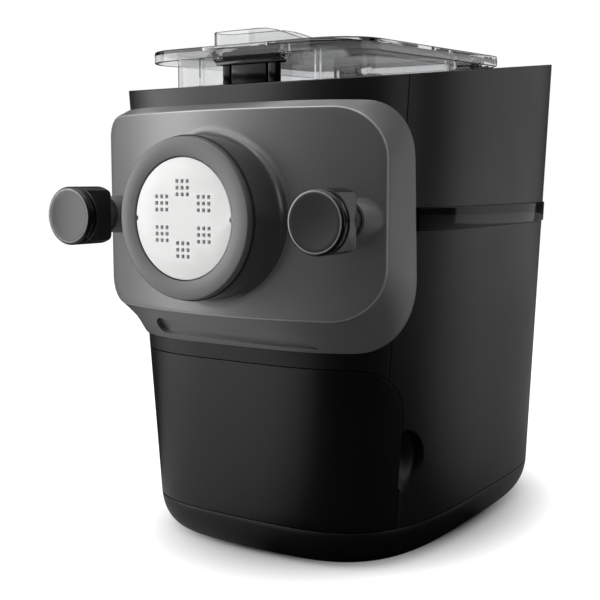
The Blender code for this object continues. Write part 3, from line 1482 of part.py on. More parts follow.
def make_gearbox():
    front, back = case_front_y(), case_back_y()
    case = prism("gearbox_case", "inner_plastic", case_outline(0.0), front, back, "y")
    room = prism("case_room", "inner_plastic", case_outline(CASE_WALL), front + CASE_WALL, back + OVERRUN, "y")
    cut(case, room)
    seat = BEARING_RADIUS + FIT
    shaft, axle = (0, AXIS_Z), (0, idler_z())
    inside = front + CASE_WALL + OVERRUN
    cut(
        case, hole("case_shaft_hole", seat, front - OVERRUN, inside, shaft),
        hole("case_motor_hole", MOTOR_NOSE + FIT, front - OVERRUN, inside, (0, motor_z()), MOTOR_SIDES),
        hole("case_axle_hole", AXLE_RADIUS + FIT, front + RUN / 2, inside, axle, TINY_SIDES),
    )
    cover = prism("gearbox_cover", "inner_plastic", case_outline(0.0), back + FIT, back + FIT + CASE_WALL, "y")
    spigot = case_outline(CASE_WALL + FIT)
    join(cover, prism("cover_spigot", "inner_plastic", spigot, back - CASE_WALL / 2, back + CASE_WALL, "y"))
    cut(
        cover, hole("cover_shaft_hole", seat, back - OVERRUN, back + CASE_WALL + OVERRUN, shaft),
        hole("cover_axle_hole", AXLE_RADIUS + FIT, back - OVERRUN, back + CASE_WALL - RUN / 2, axle, TINY_SIDES),
    )
    for name, start in (("bearing_front", front), ("bearing_rear", back + FIT + CASE_WALL - BEARING_WIDTH)):
        turned(
            name, "steel",
            (
                (start, SHAFT_RADIUS + FIT), (start, BEARING_RADIUS),
                (start + BEARING_WIDTH, BEARING_RADIUS), (start + BEARING_WIDTH, SHAFT_RADIUS + FIT),
            ),
            SMALL_SIDES, (0, AXIS_Z), hollow=True,
        )


# Chassis

def shelf_top_z():
    return AXIS_Z - CHAMBER_HALF_WIDTH - FIT


def rear_leg_y():
    return rear_plate_y() - LEG_LENGTH


def make_chassis():
    low = shelf_top_z() - SHELF_THICKNESS
    cradle = CHAMBER_HALF_WIDTH + RUN
    outline = [(PLATE_HALF_WIDTH, low), (PLATE_HALF_WIDTH, AXIS_Z - LEG_LENGTH)]
    wide = KNOB_X + STUD_FLANGE_RADIUS
    outline += [(wide, AXIS_Z - LEG_LENGTH / 2), (wide, AXIS_Z + LEG_LENGTH / 2)]
    outline += [(PLATE_HALF_WIDTH, AXIS_Z + LEG_LENGTH), (PLATE_HALF_WIDTH, PLATE_TOP_Z)]
    outline += [(cradle, PLATE_TOP_Z)]
    half = []
    for i in range(CHAMBER_ARC_STEPS // 2):
        turn = -math.pi / 2 * i / (CHAMBER_ARC_STEPS // 2)
        half.append((cradle * math.cos(turn), AXIS_Z + cradle * math.sin(turn)))
    right = outline + half
    left = [(-x, z) for x, z in reversed(right)]
    bottom = (0, shelf_top_z() - FIT)
    chassis = prism(
        "chassis", "inner_plastic", right + [bottom] + left, FRONT_PLATE_Y, FRONT_PLATE_Y + PLATE, "y"
    )
    shelf = block(
        "shelf", "inner_plastic",
        (-PLATE_HALF_WIDTH, FRONT_PLATE_Y, low), (PLATE_HALF_WIDTH, TRAY_BACK_Y, shelf_top_z() - RUN),
    )
    rear = block(
        "rear_plate", "inner_plastic",
        (-REAR_PLATE_HALF_WIDTH, rear_plate_y(), REAR_PLATE_LOW_Z),
        (REAR_PLATE_HALF_WIDTH, rear_plate_y() + PLATE, PLATE_TOP_Z),
    )
    join(chassis, shelf, rear)
    for side in (-1, 1):
        edges = sorted((side * LEG_X, side * (LEG_X - RAIL_WIDTH)))
        rail = block(
            f"rail_{side}", "inner_plastic",
            (edges[0], FRONT_PLATE_Y + PLATE / 2, low + FIT),
            (edges[1], rear_plate_y() + PLATE / 2, shelf_top_z() - RUN),
        )
        join(chassis, rail)
        edges = sorted((side * LEG_X, side * (LEG_X - LEG_WIDTH)))
        for y in (LEG_FRONT_Y, rear_leg_y()):
            leg = block(
                f"leg_{side}_{y}", "inner_plastic",
                (edges[0], y - LEG_LENGTH / 2, leg_foot_z()),
                (edges[1], y + LEG_LENGTH / 2, low + SHELF_THICKNESS / 2),
            )
            join(chassis, leg)
        stud = STUD_RADIUS * 3 / 4 + FIT
        end = FRONT_PLATE_Y + PLATE + OVERRUN
        cut(chassis, hole(f"stud_seat_{side}", stud, FRONT_PLATE_Y - OVERRUN, end, (side * KNOB_X, AXIS_Z)))
    start, end = rear_plate_y() - OVERRUN, rear_plate_y() + PLATE + OVERRUN
    cut(
        chassis, hole("chassis_shaft_hole", seal_radius() + FIT, start, end, (0, AXIS_Z)),
        hole("chassis_motor_hole", MOTOR_NOSE + FIT, start, end, (0, motor_z()), MOTOR_SIDES),
    )
    return chassis


# Top deck and controls

def make_deck():
    inset = WALL + FIT
    rings = [rim_ring(inset, DECK_DROP + DECK_THICKNESS), rim_ring(inset, DECK_DROP)]
    deck = loft("top_deck", "matte_black", rings)
    room = DECK_HOLE_ROOM
    outline = rounded_rectangle(
        -CHAMBER_HALF_WIDTH - room, CHAMBER_HALF_WIDTH + room, CHAMBER_FRONT_Y - room, CHAMBER_BACK_Y + room,
        (CHAMBER_ROUND + room,) * 4, steps=CHAMBER_ROUND_STEPS,
    )
    cut(deck, prism("deck_opening", "matte_black", outline, RIM_FRONT_Z - 4 * OVERRUN, 2 * RIM_FRONT_Z, "z"))
    cut(deck, panel_blank("deck_panel_hole", FIT, -4 * OVERRUN, 2 * OVERRUN))
    for side in (-1, 1):
        for end in (-1, 1):
            middle = side * KNUCKLE_X + end * (KNUCKLE_LENGTH / 2 + FIT + EAR_LENGTH / 2)
            foot = rim_height(HINGE_Y, DECK_DROP) - FIT
            join(deck, hinge_barrel(f"hinge_ear_{side}_{end}", middle, EAR_LENGTH, foot))
        length = KNUCKLE_LENGTH + 4 * EAR_LENGTH
        cut(deck, hinge_rod(f"ear_hole_{side}", side * KNUCKLE_X, length, PIN_RADIUS + FIT))
    return deck


def hinge_barrel(name, middle, length, foot):
    """A round hinge knuckle or ear on a straight foot that comes up from the deck or the lid."""
    ring = []
    for i in range(KNUCKLE_STEPS + 1):
        turn = math.pi * i / KNUCKLE_STEPS
        ring.append((HINGE_Y + KNUCKLE_RADIUS * math.cos(turn), HINGE_Z + KNUCKLE_RADIUS * math.sin(turn)))
    ring += [(HINGE_Y - KNUCKLE_RADIUS, foot), (HINGE_Y + KNUCKLE_RADIUS, foot)]
    return prism(name, "matte_black", ring, middle - length / 2, middle + length / 2, "x")


def hinge_rod(name, middle, length, radius, finish="steel"):
    ring = circle(radius, TINY_SIDES, (HINGE_Y, HINGE_Z))
    return prism(name, finish, ring, middle - length / 2, middle + length / 2, "x")


def panel_blank(name, grow, low, high):
    """The control panel's outline, carried up at the deck's slope from low to high above the deck."""
    outline = rounded_rectangle(
        -PANEL_HALF_WIDTH - grow, PANEL_HALF_WIDTH + grow, PANEL_FRONT_Y - grow, PANEL_BACK_Y + grow,
        (PANEL_CORNER,) * 4, steps=3,
    )
    rings = [[(x, y, rim_height(y, DECK_DROP) + rise) for x, y in outline] for rise in (low, high)]
    return loft(name, "gloss_black", rings)


def button_centre(side):
    return side * BUTTON_X, (PANEL_FRONT_Y + PANEL_BACK_Y) / 2


def deck_disc(name, finish, stations, centre, sides=SMALL_SIDES):
    """Turned about the deck's normal: stations are (height above the deck, radius)."""
    lean = math.atan(RIM_SLOPE_SHARE)
    x, y = centre
    origin = Vector((x, y, rim_height(y, DECK_DROP)))
    across = Vector((0, math.cos(lean), math.sin(lean)))
    up = Vector((0, -math.sin(lean), math.cos(lean)))
    rings = []
    for height, radius in stations:
        ring = []
        for a, b in circle(radius, sides):
            ring.append(origin + Vector((a, 0, 0)) + across * b + up * height)
        rings.append(ring)
    return loft(name, finish, rings)


def make_controls():
    panel = panel_blank("control_panel", 0.0, PANEL_PROUD - PANEL_THICKNESS, PANEL_PROUD)
    for side in (-1, 1):
        hole = deck_disc(
            f"button_hole_{side}", "gloss_black",
            ((-2 * PANEL_THICKNESS, BUTTON_RADIUS + FIT), (2 * PANEL_THICKNESS, BUTTON_RADIUS + FIT)),
            button_centre(side),
        )
        cut(panel, hole)
    low = PANEL_PROUD - PANEL_THICKNESS
    for side, name in ((-1, "power_button"), (1, "start_button")):
        wide = BUTTON_RADIUS + BUTTON_FLANGE
        button = deck_disc(
            name, "gloss_black",
            (
                (low - FIT - BUTTON_FLANGE, wide), (low - FIT, wide), (low - FIT, BUTTON_RADIUS),
                (PANEL_PROUD + BUTTON_PROUD - BUTTON_FLANGE / 2, BUTTON_RADIUS),
                (PANEL_PROUD + BUTTON_PROUD, BUTTON_RADIUS - BUTTON_FLANGE / 2),
            ),
            button_centre(side),
        )
        x, y = button_centre(side)
        carry(f"{name}_slide", (x, y, rim_height(y, DECK_DROP)), (button,))
    outline = rounded_rectangle(
        -CONTROL_BOARD_HALF_WIDTH, CONTROL_BOARD_HALF_WIDTH, PANEL_FRONT_Y + PANEL_CORNER,
        PANEL_BACK_Y - PANEL_CORNER, (PANEL_CORNER / 2,) * 4, steps=2,
    )
    top = low - BOARD_DROP
    rings = [
        [(x, y, rim_height(y, DECK_DROP) + rise) for x, y in outline]
        for rise in (top - BOARD_THICKNESS, top)
    ]
    board = loft("control_board", "board_green", rings)
    for side in (-1, 1):
        reach = low - FIT - BUTTON_FLANGE - BUTTON_TRAVEL - FIT
        switch = deck_disc(
            f"touch_switch_{side}", "board_green",
            ((top - BOARD_THICKNESS / 2, TOUCH_SWITCH / 2), (reach, TOUCH_SWITCH / 2)), button_centre(side), 8,
        )
        join(board, switch)
        for y in (PANEL_FRONT_Y + 2 * PANEL_CORNER, PANEL_BACK_Y - 2 * PANEL_CORNER):
            post = upright(
                f"panel_post_{side}_{y}", "gloss_black",
                (
                    (rim_height(y, DECK_DROP) + top + RUN, PANEL_CORNER / 2),
                    (rim_height(y, DECK_DROP) + PANEL_PROUD - PANEL_THICKNESS / 2, PANEL_CORNER / 2),
                ),
                6, (side * (CONTROL_BOARD_HALF_WIDTH - PANEL_CORNER), y),
            )
            join(panel, post)
    return panel


def make_lid_switch():
    """A safety switch under the deck, beside the chamber, that feels whether the lid is shut."""
    x = CHAMBER_HALF_WIDTH + DECK_HOLE_ROOM + SWITCH_DEPTH / 2
    top = rim_height(CHAMBER_BACK_Y, DECK_DROP + DECK_THICKNESS) - FIT
    return block(
        "lid_switch", "inner_plastic",
        (x, CHAMBER_BACK_Y, top - SWITCH_HEIGHT), (x + SWITCH_DEPTH, CHAMBER_BACK_Y + SWITCH_LENGTH, top),
    )


# Lid

def lid_height(y, drop=0.0):
    return LID_TOP_Z + LID_SLOPE_SHARE * (y - LID_FRONT_Y) - drop


def lid_ring(inset, drop):
    corners = (LID_BACK_CORNER - inset, LID_BACK_CORNER - inset, LID_CORNER - inset, LID_CORNER - inset)
    outline = rounded_rectangle(
        -LID_HALF_WIDTH + inset, LID_HALF_WIDTH - inset, LID_FRONT_Y + inset, LID_BACK_Y - inset, corners,
        steps=LID_CORNER_STEPS,
    )
    return [(x, y, lid_height(y, drop)) for x, y in outline]


def inlet_outline(inset):
    """Rounded slot shape in plan, round at both ends."""
    depth = INLET_HALF_DEPTH - inset
    left = INLET_LEFT_X + INLET_HALF_DEPTH
    right = INLET_RIGHT_X - INLET_HALF_DEPTH
    points = []
    for i in range(INLET_SIDES):
        turn = math.tau * i / INLET_SIDES
        spread = (left + right) / 2 + (right - left) / 2 * max(-1, min(1, 2 * math.cos(turn)))
        points.append((spread + depth * math.cos(turn), INLET_Y + depth * math.sin(turn)))
    return points


def inlet_top(x, y):
    share = (x - INLET_CREST_X) / (INLET_RIGHT_X - INLET_CREST_X)
    share = min(max(share, 0), 1)
    fall = 1 - share * share * (3 - 2 * share)
    return lid_height(y) + INLET_RISE * fall + FIT


def make_lid():
    edge = LID_EDGE_ROUND
    rings = [
        lid_ring(0.0, LID_DEPTH), lid_ring(0.0, edge), lid_ring(edge / 3, edge / 3), lid_ring(edge, 0.0),
    ]
    lid = loft("lid", "clear", rings)
    room = [lid_ring(LID_WALL, LID_DEPTH + OVERRUN), lid_ring(LID_WALL, LID_WALL)]
    cut(lid, loft("lid_hollow", "clear", room))
    outer = inlet_outline(0.0)
    inner = inlet_outline(INLET_WALL)
    wall = loft(
        "inlet_wall", "clear",
        [
            [(x, y, lid_height(y, LID_WALL / 2)) for x, y in outer],
            [(x, y, inlet_top(x, y)) for x, y in outer],
            [(x, y, inlet_top(x, y)) for x, y in inner],
            [(x, y, lid_height(y, LID_WALL / 2)) for x, y in inner],
        ],
        closed=True,
    )
    join(lid, wall)
    slot = rounded_rectangle(
        INLET_LEFT_X + 2 * INLET_WALL, INLET_SLOT_RIGHT_X, INLET_Y - INLET_HALF_DEPTH + 2 * INLET_WALL,
        INLET_Y + INLET_HALF_DEPTH - 2 * INLET_WALL, (INLET_HALF_DEPTH / 2,) * 4, steps=4,
    )
    cut(lid, prism("inlet_slot", "clear", slot, RIM_FRONT_Z, 2 * RIM_FRONT_Z, "z"))
    for side in (-1, 1):
        knuckle = []
        for i in range(KNUCKLE_STEPS + 1):
            turn = -math.pi / 2 + math.pi * i / KNUCKLE_STEPS
            across, rise = KNUCKLE_RADIUS * math.cos(turn), KNUCKLE_RADIUS * math.sin(turn)
            knuckle.append((HINGE_Y + across, HINGE_Z + rise))
        knuckle += [(LID_BACK_Y - LID_WALL / 2, HINGE_Z + KNUCKLE_RADIUS / 2)]
        knuckle += [(LID_BACK_Y - LID_WALL / 2, HINGE_Z - KNUCKLE_RADIUS * 2 / 3)]
        middle = side * KNUCKLE_X
        half = KNUCKLE_LENGTH / 2
        join(lid, prism(f"lid_knuckle_{side}", "clear", knuckle, middle - half, middle + half, "x"))
        length = KNUCKLE_LENGTH + 2 * OVERRUN
        cut(lid, hinge_rod(f"knuckle_hole_{side}", middle, length, PIN_RADIUS + FIT, "clear"))
        inner_x = LATCH_FLANGE_HALF + RUN
        ends = sorted((side * inner_x, side * (inner_x + LUG_THICKNESS)))
        eye = circle(LUG_RADIUS, TINY_SIDES, (LATCH_AXIS_Y, LATCH_AXIS_Z))
        lug = sorted((y, z) for y, z in eye if z < LATCH_AXIS_Z)
        ceiling = lid_height(LATCH_AXIS_Y, LID_WALL / 2)
        lug = [(lug[0][0], ceiling)] + lug + [(lug[-1][0], ceiling)]
        join(lid, prism(f"latch_lug_{side}", "clear", lug, ends[0], ends[1], "x"))
    pin_hole = prism(
        "latch_pin_hole", "clear", circle(LATCH_PIN_RADIUS + FIT, 8, (LATCH_AXIS_Y, LATCH_AXIS_Z)),
        -LATCH_FLANGE_HALF - 2 * LUG_THICKNESS, LATCH_FLANGE_HALF + 2 * LUG_THICKNESS, "x",
    )
    cut(lid, pin_hole)
    reach = 2 * (LATCH_FLANGE_HALF + RUN + LUG_THICKNESS)
    outline = circle(LATCH_PIN_RADIUS, 8, (LATCH_AXIS_Y, LATCH_AXIS_Z))
    latch_pin = prism("latch_pin", "steel", outline, -reach / 2, reach / 2, "x")
    carry("lid_axis", (0, HINGE_Y, HINGE_Z), (lid, latch_pin))
    for side, hand in ((-1, "left"), (1, "right")):
        length = KNUCKLE_LENGTH + 2 * EAR_LENGTH + 2 * FIT
        hinge_rod(f"lid_hinge_pin_{hand}", side * KNUCKLE_X, length, PIN_RADIUS)


def make_latch():
    profile = [
        (LATCH_BLOCK_FRONT_Y, LATCH_BOTTOM_Z), (LATCH_BACK_Y, LATCH_BOTTOM_Z), (LATCH_BACK_Y, LATCH_AXIS_Z),
    ]
    for i in range(1, 7):
        turn = math.pi * i / 8
        reach = LATCH_BACK_Y - LATCH_AXIS_Y
        across, rise = reach * math.cos(turn), LATCH_EYE_RADIUS * math.sin(turn)
        profile.append((LATCH_AXIS_Y + across, LATCH_AXIS_Z + rise))
    profile += [(LATCH_BLOCK_FRONT_Y, LATCH_AXIS_Z)]
    latch = prism("lid_latch", "gloss_black", profile, -LATCH_BLOCK_HALF, LATCH_BLOCK_HALF, "x")
    flange = block(
        "latch_flange", "gloss_black",
        (-LATCH_FLANGE_HALF, LATCH_FRONT_Y, LATCH_FLANGE_LOW_Z),
        (LATCH_FLANGE_HALF, LATCH_BACK_Y, LATCH_FLANGE_TOP_Z),
    )
    join(latch, flange)
    pin = prism(
        "latch_bore", "gloss_black", circle(LATCH_PIN_RADIUS + FIT, 8, (LATCH_AXIS_Y, LATCH_AXIS_Z)),
        -2 * LATCH_BLOCK_HALF, 2 * LATCH_BLOCK_HALF, "x",
    )
    cut(latch, pin)
    carry("latch_axis", (0, LATCH_AXIS_Y, LATCH_AXIS_Z), (latch,))


# Electrics

def make_main_board():
    low = floor_z() + BOARD_POST + FIT
    board = block(
        "main_board", "board_green",
        (-BOARD_HALF_WIDTH, BOARD_FRONT_Y, low), (BOARD_HALF_WIDTH, BOARD_BACK_Y, low + BOARD_THICKNESS),
    )
    length = BOARD_BACK_Y - BOARD_FRONT_Y
    for i, (x_share, y_share, wide_share, long_share, tall_share) in enumerate(BOARD_PART_SHARES):
        x = x_share * BOARD_HALF_WIDTH
        y = BOARD_FRONT_Y + y_share * length
        wide = wide_share * BOARD_HALF_WIDTH / 2
        deep = long_share * length / 2
        component = block(
            f"component_{i}", "board_green",
            (x - wide, y - deep, low + BOARD_THICKNESS / 2), (x + wide, y + deep, low + tall_share * length),
        )
        join(board, component)
    return board


def make_gland():
    wall_y = section(GLAND_Z)[2]
    wide = GLAND_RADIUS + WALL
    gland = turned(
        "cord_gland", "rubber",
        (
            (wall_y - WALL - 3 * RUN - WALL, wide), (wall_y - WALL - 3 * RUN, wide),
            (wall_y - WALL - 3 * RUN, GLAND_RADIUS), (wall_y + RUN, GLAND_RADIUS), (wall_y + RUN, wide),
            (wall_y + WALL, wide), (wall_y + GLAND_TAIL, GLAND_RADIUS * 3 / 4),
        ),
        SMALL_SIDES, (GLAND_X, GLAND_Z),
    )
    half_long, half_wide = GLAND_SLOT_LENGTH / 2, GLAND_SLOT_WIDTH / 2
    slot = rounded_rectangle(
        GLAND_X - half_long, GLAND_X + half_long, GLAND_Z - half_wide, GLAND_Z + half_wide,
        (half_wide * GLAND_SLOT_ROUND_SHARE,) * 4, steps=3,
    )
    start, end = wall_y - 2 * GLAND_TAIL, wall_y + 2 * GLAND_TAIL
    return cut(gland, prism("gland_slot", "rubber", slot, start, end, "y"))


def main():
    clear_scene()
    make_base()
    make_feet()
    make_load_cells()
    make_housing()
    make_fascia()
    make_trim_band()
    make_chassis()
    make_runners()
    make_drawer()
    make_chamber()
    make_seal()
    make_tube()
    make_disc()
    make_cap_ring()
    make_front_panel()
    for side, hand in ((-1, "left"), (1, "right")):
        make_knob(side, hand)
        make_stud(side, hand)
    make_drive()
    make_idler()
    make_motor()
    make_gearbox()
    make_deck()
    make_controls()
    make_lid_switch()
    make_lid()
    make_latch()
    make_main_board()
    make_gland()


main()
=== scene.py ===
import math
import bpy
import bmesh
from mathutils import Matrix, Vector


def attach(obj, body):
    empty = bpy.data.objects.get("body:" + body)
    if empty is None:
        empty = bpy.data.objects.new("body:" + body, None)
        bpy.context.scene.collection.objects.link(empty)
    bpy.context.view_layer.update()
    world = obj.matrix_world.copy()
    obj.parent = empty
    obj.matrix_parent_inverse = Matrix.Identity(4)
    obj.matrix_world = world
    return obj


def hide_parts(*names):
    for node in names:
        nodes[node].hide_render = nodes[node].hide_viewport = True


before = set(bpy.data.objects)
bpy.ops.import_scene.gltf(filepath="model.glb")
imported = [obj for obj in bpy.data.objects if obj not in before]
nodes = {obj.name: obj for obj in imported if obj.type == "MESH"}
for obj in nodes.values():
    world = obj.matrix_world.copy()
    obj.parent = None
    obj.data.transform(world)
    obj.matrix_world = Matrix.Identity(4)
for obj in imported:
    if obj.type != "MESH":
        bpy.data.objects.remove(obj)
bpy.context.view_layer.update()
print("frame loaded:", len(nodes), "nodes")

# Metres throughout, front towards -Y

camera = {
    "place": (0.3679, -0.6097, 0.2271),
    "turn": 33.257,       # degrees to the right of straight on
    "dip": 6.539,         # degrees below level
    "lens": 63.08,
    "sensor": 36.0,
}


def makeCamera():
    turn, dip = math.radians(camera["turn"]), math.radians(camera["dip"])
    look = Vector((-math.sin(turn) * math.cos(dip), math.cos(turn) * math.cos(dip), -math.sin(dip)))
    data = bpy.data.cameras.new("productCamera")
    data.lens = camera["lens"]
    data.sensor_width = camera["sensor"]
    data.clip_end = 20
    made = bpy.data.objects.new("productCamera", data)
    made.location = camera["place"]
    made.rotation_euler = look.to_track_quat("-Z", "Y").to_euler()
    bpy.context.scene.collection.objects.link(made)
    bpy.context.scene.camera = made
    bpy.context.scene.view_settings.view_transform = "Standard"


makeCamera()
print("camera set")


# Finishes: one shader each, with grain and tone from noise; some have edges painted paler, part wear and part
# painted highlight

def newFinish(name, base, roughness, metallic=0.0, specular=0.5):
    made = bpy.data.materials.new(name)
    made.use_nodes = True
    tree = made.node_tree
    shader = tree.nodes["Principled BSDF"]
    shader.inputs["Base Color"].default_value = (*base, 1.0)
    shader.inputs["Roughness"].default_value = roughness
    shader.inputs["Metallic"].default_value = metallic
    shader.inputs["Specular IOR Level"].default_value = specular
    return made, tree, shader


def partSpace(tree):
    for node in tree.nodes:
        if node.type == "TEX_COORD":
            return node.outputs["Object"]
    return tree.nodes.new("ShaderNodeTexCoord").outputs["Object"]


def stretched(tree, stretch, shift=(0.0, 0.0, 0.0)):
    mapping = tree.nodes.new("ShaderNodeMapping")
    mapping.inputs["Scale"].default_value = stretch
    mapping.inputs["Location"].default_value = shift
    tree.links.new(partSpace(tree), mapping.inputs["Vector"])
    return mapping.outputs["Vector"]


def noise(tree, scale, detail=3.0, stretch=None):
    node = tree.nodes.new("ShaderNodeTexNoise")
    node.inputs["Scale"].default_value = scale
    node.inputs["Detail"].default_value = detail
    tree.links.new(stretched(tree, stretch) if stretch else partSpace(tree), node.inputs["Vector"])
    return node.outputs["Fac"]


def spread(tree, source, low, high, start=0.3, end=0.7, kind="LINEAR"):
    node = tree.nodes.new("ShaderNodeMapRange")
    node.interpolation_type = kind
    node.inputs["From Min"].default_value = start
    node.inputs["From Max"].default_value = end
    node.inputs["To Min"].default_value = low
    node.inputs["To Max"].default_value = high
    tree.links.new(source, node.inputs["Value"])
    return node.outputs["Result"]


def tint(tree, shader, source, first, second):
    node = tree.nodes.new("ShaderNodeMix")
    node.data_type = "RGBA"
    node.inputs[6].default_value = (*first, 1.0)
    node.inputs[7].default_value = (*second, 1.0)
    tree.links.new(source, node.inputs["Factor"])
    tree.links.new(node.outputs[2], shader.inputs["Base Color"])
    return node


def relief(tree, shader, source, height, strength):
    node = tree.nodes.new("ShaderNodeBump")
    node.inputs["Strength"].default_value = strength
    node.inputs["Distance"].default_value = height
    tree.links.new(source, node.inputs["Height"])
    tree.links.new(node.outputs["Normal"], shader.inputs["Normal"])


def mathNode(tree, operation, *sources):
    node = tree.nodes.new("ShaderNodeMath")
    node.operation = operation
    for i, source in enumerate(sources):
        tree.links.new(source, node.inputs[i])
    return node.outputs[0]


def vectorNode(tree, operation, *sources):
    node = tree.nodes.new("ShaderNodeVectorMath")
    node.operation = operation
    for i, source in enumerate(sources):
        if isinstance(source, tuple):
            node.inputs[i].default_value = source
        else:
            tree.links.new(source, node.inputs[i])
    return node.outputs["Vector" if operation == "NORMALIZE" else "Value"]


def mixedShader(tree, share, first, second):
    node = tree.nodes.new("ShaderNodeMixShader")
    for i, source in enumerate((share, first, second)):
        tree.links.new(source, node.inputs[i])
    return node.outputs[0]


# mask for edges painted paler: part wear, part painted highlight
def edgeWearAndHighlight(tree, radius):
    rounded = tree.nodes.new("ShaderNodeBevel")
    rounded.samples = 4
    rounded.inputs["Radius"].default_value = radius
    true = tree.nodes.new("ShaderNodeNewGeometry")
    # 1 where both normals agree, less near an edge
    agree = vectorNode(tree, "DOT_PRODUCT", rounded.outputs["Normal"], true.outputs["Normal"])
    return spread(tree, agree, 1.0, 0.0, 0.90, 0.985)


def mouldedFinish(name, look):
    made, tree, shader = newFinish(name, look["base"], look["roughness"], look.get("metallic", 0.0),
                                   look.get("specular", 0.5))
    broad = noise(tree, look.get("patch", 14.0), 2.0)
    worn = tuple(min(1.0, c * look.get("lift", 1.25)) for c in look["base"])
    toned = tint(tree, shader, spread(tree, broad, 0.0, 1.0), look["base"], worn)
    if look.get("wearAndHighlight"):                       # edges are painted a little paler than the faces: part wear, part painted highlight
        wearAndHighlightColour = tuple(min(1.0, c * look["wearAndHighlight"]) for c in look["base"])
        wearAndHighlightMix = tint(tree, shader, edgeWearAndHighlight(tree, look["wearAndHighlightRadius"]), look["base"], wearAndHighlightColour)
        tree.links.new(toned.outputs[2], wearAndHighlightMix.inputs[6])
    swing = look.get("swing", 0.03)
    fine = noise(tree, look.get("grain", 2600.0), 2.0)
    rough = spread(tree, broad, look["roughness"] - swing, look["roughness"] + swing)
    tree.links.new(rough, shader.inputs["Roughness"])
    relief(tree, shader, fine, look.get("depth", 0.00002), look.get("strength", 0.3))
    if look.get("coat"):
        shader.inputs["Coat Weight"].default_value = look["coat"]
        shader.inputs["Coat Roughness"].default_value = look.get("coatRoughness", 0.08)
    return made


def clearFinish(name, look):
    made, tree, shader = newFinish(name, look["base"], look["roughness"])
    shader.inputs["Transmission Weight"].default_value = 1.0
    shader.inputs["IOR"].default_value = look["ior"]
    haze = noise(tree, look["patch"], 3.0)
    rough = spread(tree, haze, look["roughness"], look["roughness"] + look["swing"])
    tree.links.new(rough, shader.inputs["Roughness"])
    relief(tree, shader, noise(tree, look["flow"], 1.0), look["depth"], look["strength"])
    shadow = tree.nodes.new("ShaderNodeBsdfTransparent")
    shadow.inputs["Color"].default_value = (*look["shadow"], 1.0)
    path = tree.nodes.new("ShaderNodeLightPath").outputs
    mix = mixedShader(tree, path["Is Shadow Ray"], shader.outputs[0], shadow.outputs[0])
    tree.links.new(mix, tree.nodes["Material Output"].inputs["Surface"])
    return made


def turnedSteelFinish(name, look):
    made, tree, shader = newFinish(name, look["base"], look["roughness"], 1.0)
    lines = noise(tree, look["grain"], 2.0, look["stretch"])
    dull = tuple(c * look["dull"] for c in look["base"])
    tint(tree, shader, spread(tree, lines, 0.0, 1.0), look["base"], dull)
    swing = look["swing"]
    tree.links.new(spread(tree, lines, look["roughness"] - swing, look["roughness"] + swing),
                   shader.inputs["Roughness"])
    relief(tree, shader, lines, look["depth"], look["strength"])
    return made


def boardFinish(name, look):
    made, tree, shader = newFinish(name, look["base"], look["roughness"])
    tracks = tree.nodes.new("ShaderNodeTexBrick")
    tracks.inputs["Scale"].default_value = look["tracks"]
    tracks.inputs["Color1"].default_value = (*look["base"], 1.0)
    tracks.inputs["Color2"].default_value = (*look["shade"], 1.0)
    tracks.inputs["Mortar"].default_value = (*look["copper"], 1.0)
    tracks.inputs["Mortar Size"].default_value = look["line"]
    tree.links.new(partSpace(tree), tracks.inputs["Vector"])
    tree.links.new(tracks.outputs["Color"], shader.inputs["Base Color"])
    relief(tree, shader, noise(tree, look["grain"], 2.0), look["depth"], look["strength"])
    return made


finishes = {
    "satinBlack": {"base": (0.0016, 0.0016, 0.0018), "roughness": 0.40, "grain": 3400.0, "lift": 1.3,
                   "swing": 0.02},
    "drawerBlack": {"base": (0.0012, 0.0012, 0.0014), "roughness": 0.28, "grain": 3400.0, "lift": 1.3,
                    "swing": 0.02, "specular": 0.66},
    "glossBlack": {"base": (0.0035, 0.0035, 0.0038), "roughness": 0.09, "swing": 0.02, "grain": 900.0,
                   "strength": 0.04},
    "bandBlack": {"base": (0.0030, 0.0030, 0.0033), "roughness": 0.08, "swing": 0.02, "grain": 900.0,
                  "strength": 0.04, "specular": 0.11},
    "knobBlack": {"base": (0.006, 0.006, 0.0065), "roughness": 0.22, "swing": 0.03, "grain": 1800.0,
                  "strength": 0.12},
    # the panel's edges are painted paler: part wear, part painted highlight
    "panelGraphite": {"base": (0.200, 0.200, 0.204), "roughness": 0.42, "metallic": 0.65, "grain": 4200.0,
                      "swing": 0.02, "lift": 1.06, "wearAndHighlight": 1.5, "wearAndHighlightRadius": 0.0007},
    # painted highlight and wear: a pale graphite for the panel's face edge
    "edgeWearHighlightGraphite": {"base": (0.42, 0.42, 0.425), "roughness": 0.40, "metallic": 0.65, "grain": 4200.0,
                     "swing": 0.02, "lift": 1.06},
    # painted shade: darker than the panel's graphite, and smoother
    "collarShadedGraphite": {"base": (0.150, 0.150, 0.153), "roughness": 0.27, "metallic": 0.80, "grain": 4200.0,
                       "swing": 0.02, "lift": 1.06},
    # painted shade: near black for the collar's edge, in the ring's shade
    "paintedShadeBlack": {"base": (0.010, 0.010, 0.010), "roughness": 0.55, "specular": 0.2, "grain": 2400.0},
    "ringGraphite": {"base": (0.135, 0.135, 0.138), "roughness": 0.40, "metallic": 0.45, "grain": 4200.0,
                     "swing": 0.02, "lift": 1.05},
    "discWhite": {"base": (0.88, 0.88, 0.87), "roughness": 0.38, "lift": 1.02, "grain": 2200.0,
                  "swing": 0.04},
    "innerPlastic": {"base": (0.155, 0.155, 0.165), "roughness": 0.52, "grain": 2400.0, "swing": 0.06},
    "gearPlastic": {"base": (0.76, 0.74, 0.68), "roughness": 0.42, "grain": 1800.0, "lift": 0.94,
                    "swing": 0.06},
    "softRubber": {"base": (0.022, 0.022, 0.023), "roughness": 0.82, "grain": 1500.0, "strength": 0.5,
                   "swing": 0.07},
}
finish = {name: mouldedFinish(name, look) for name, look in finishes.items()}
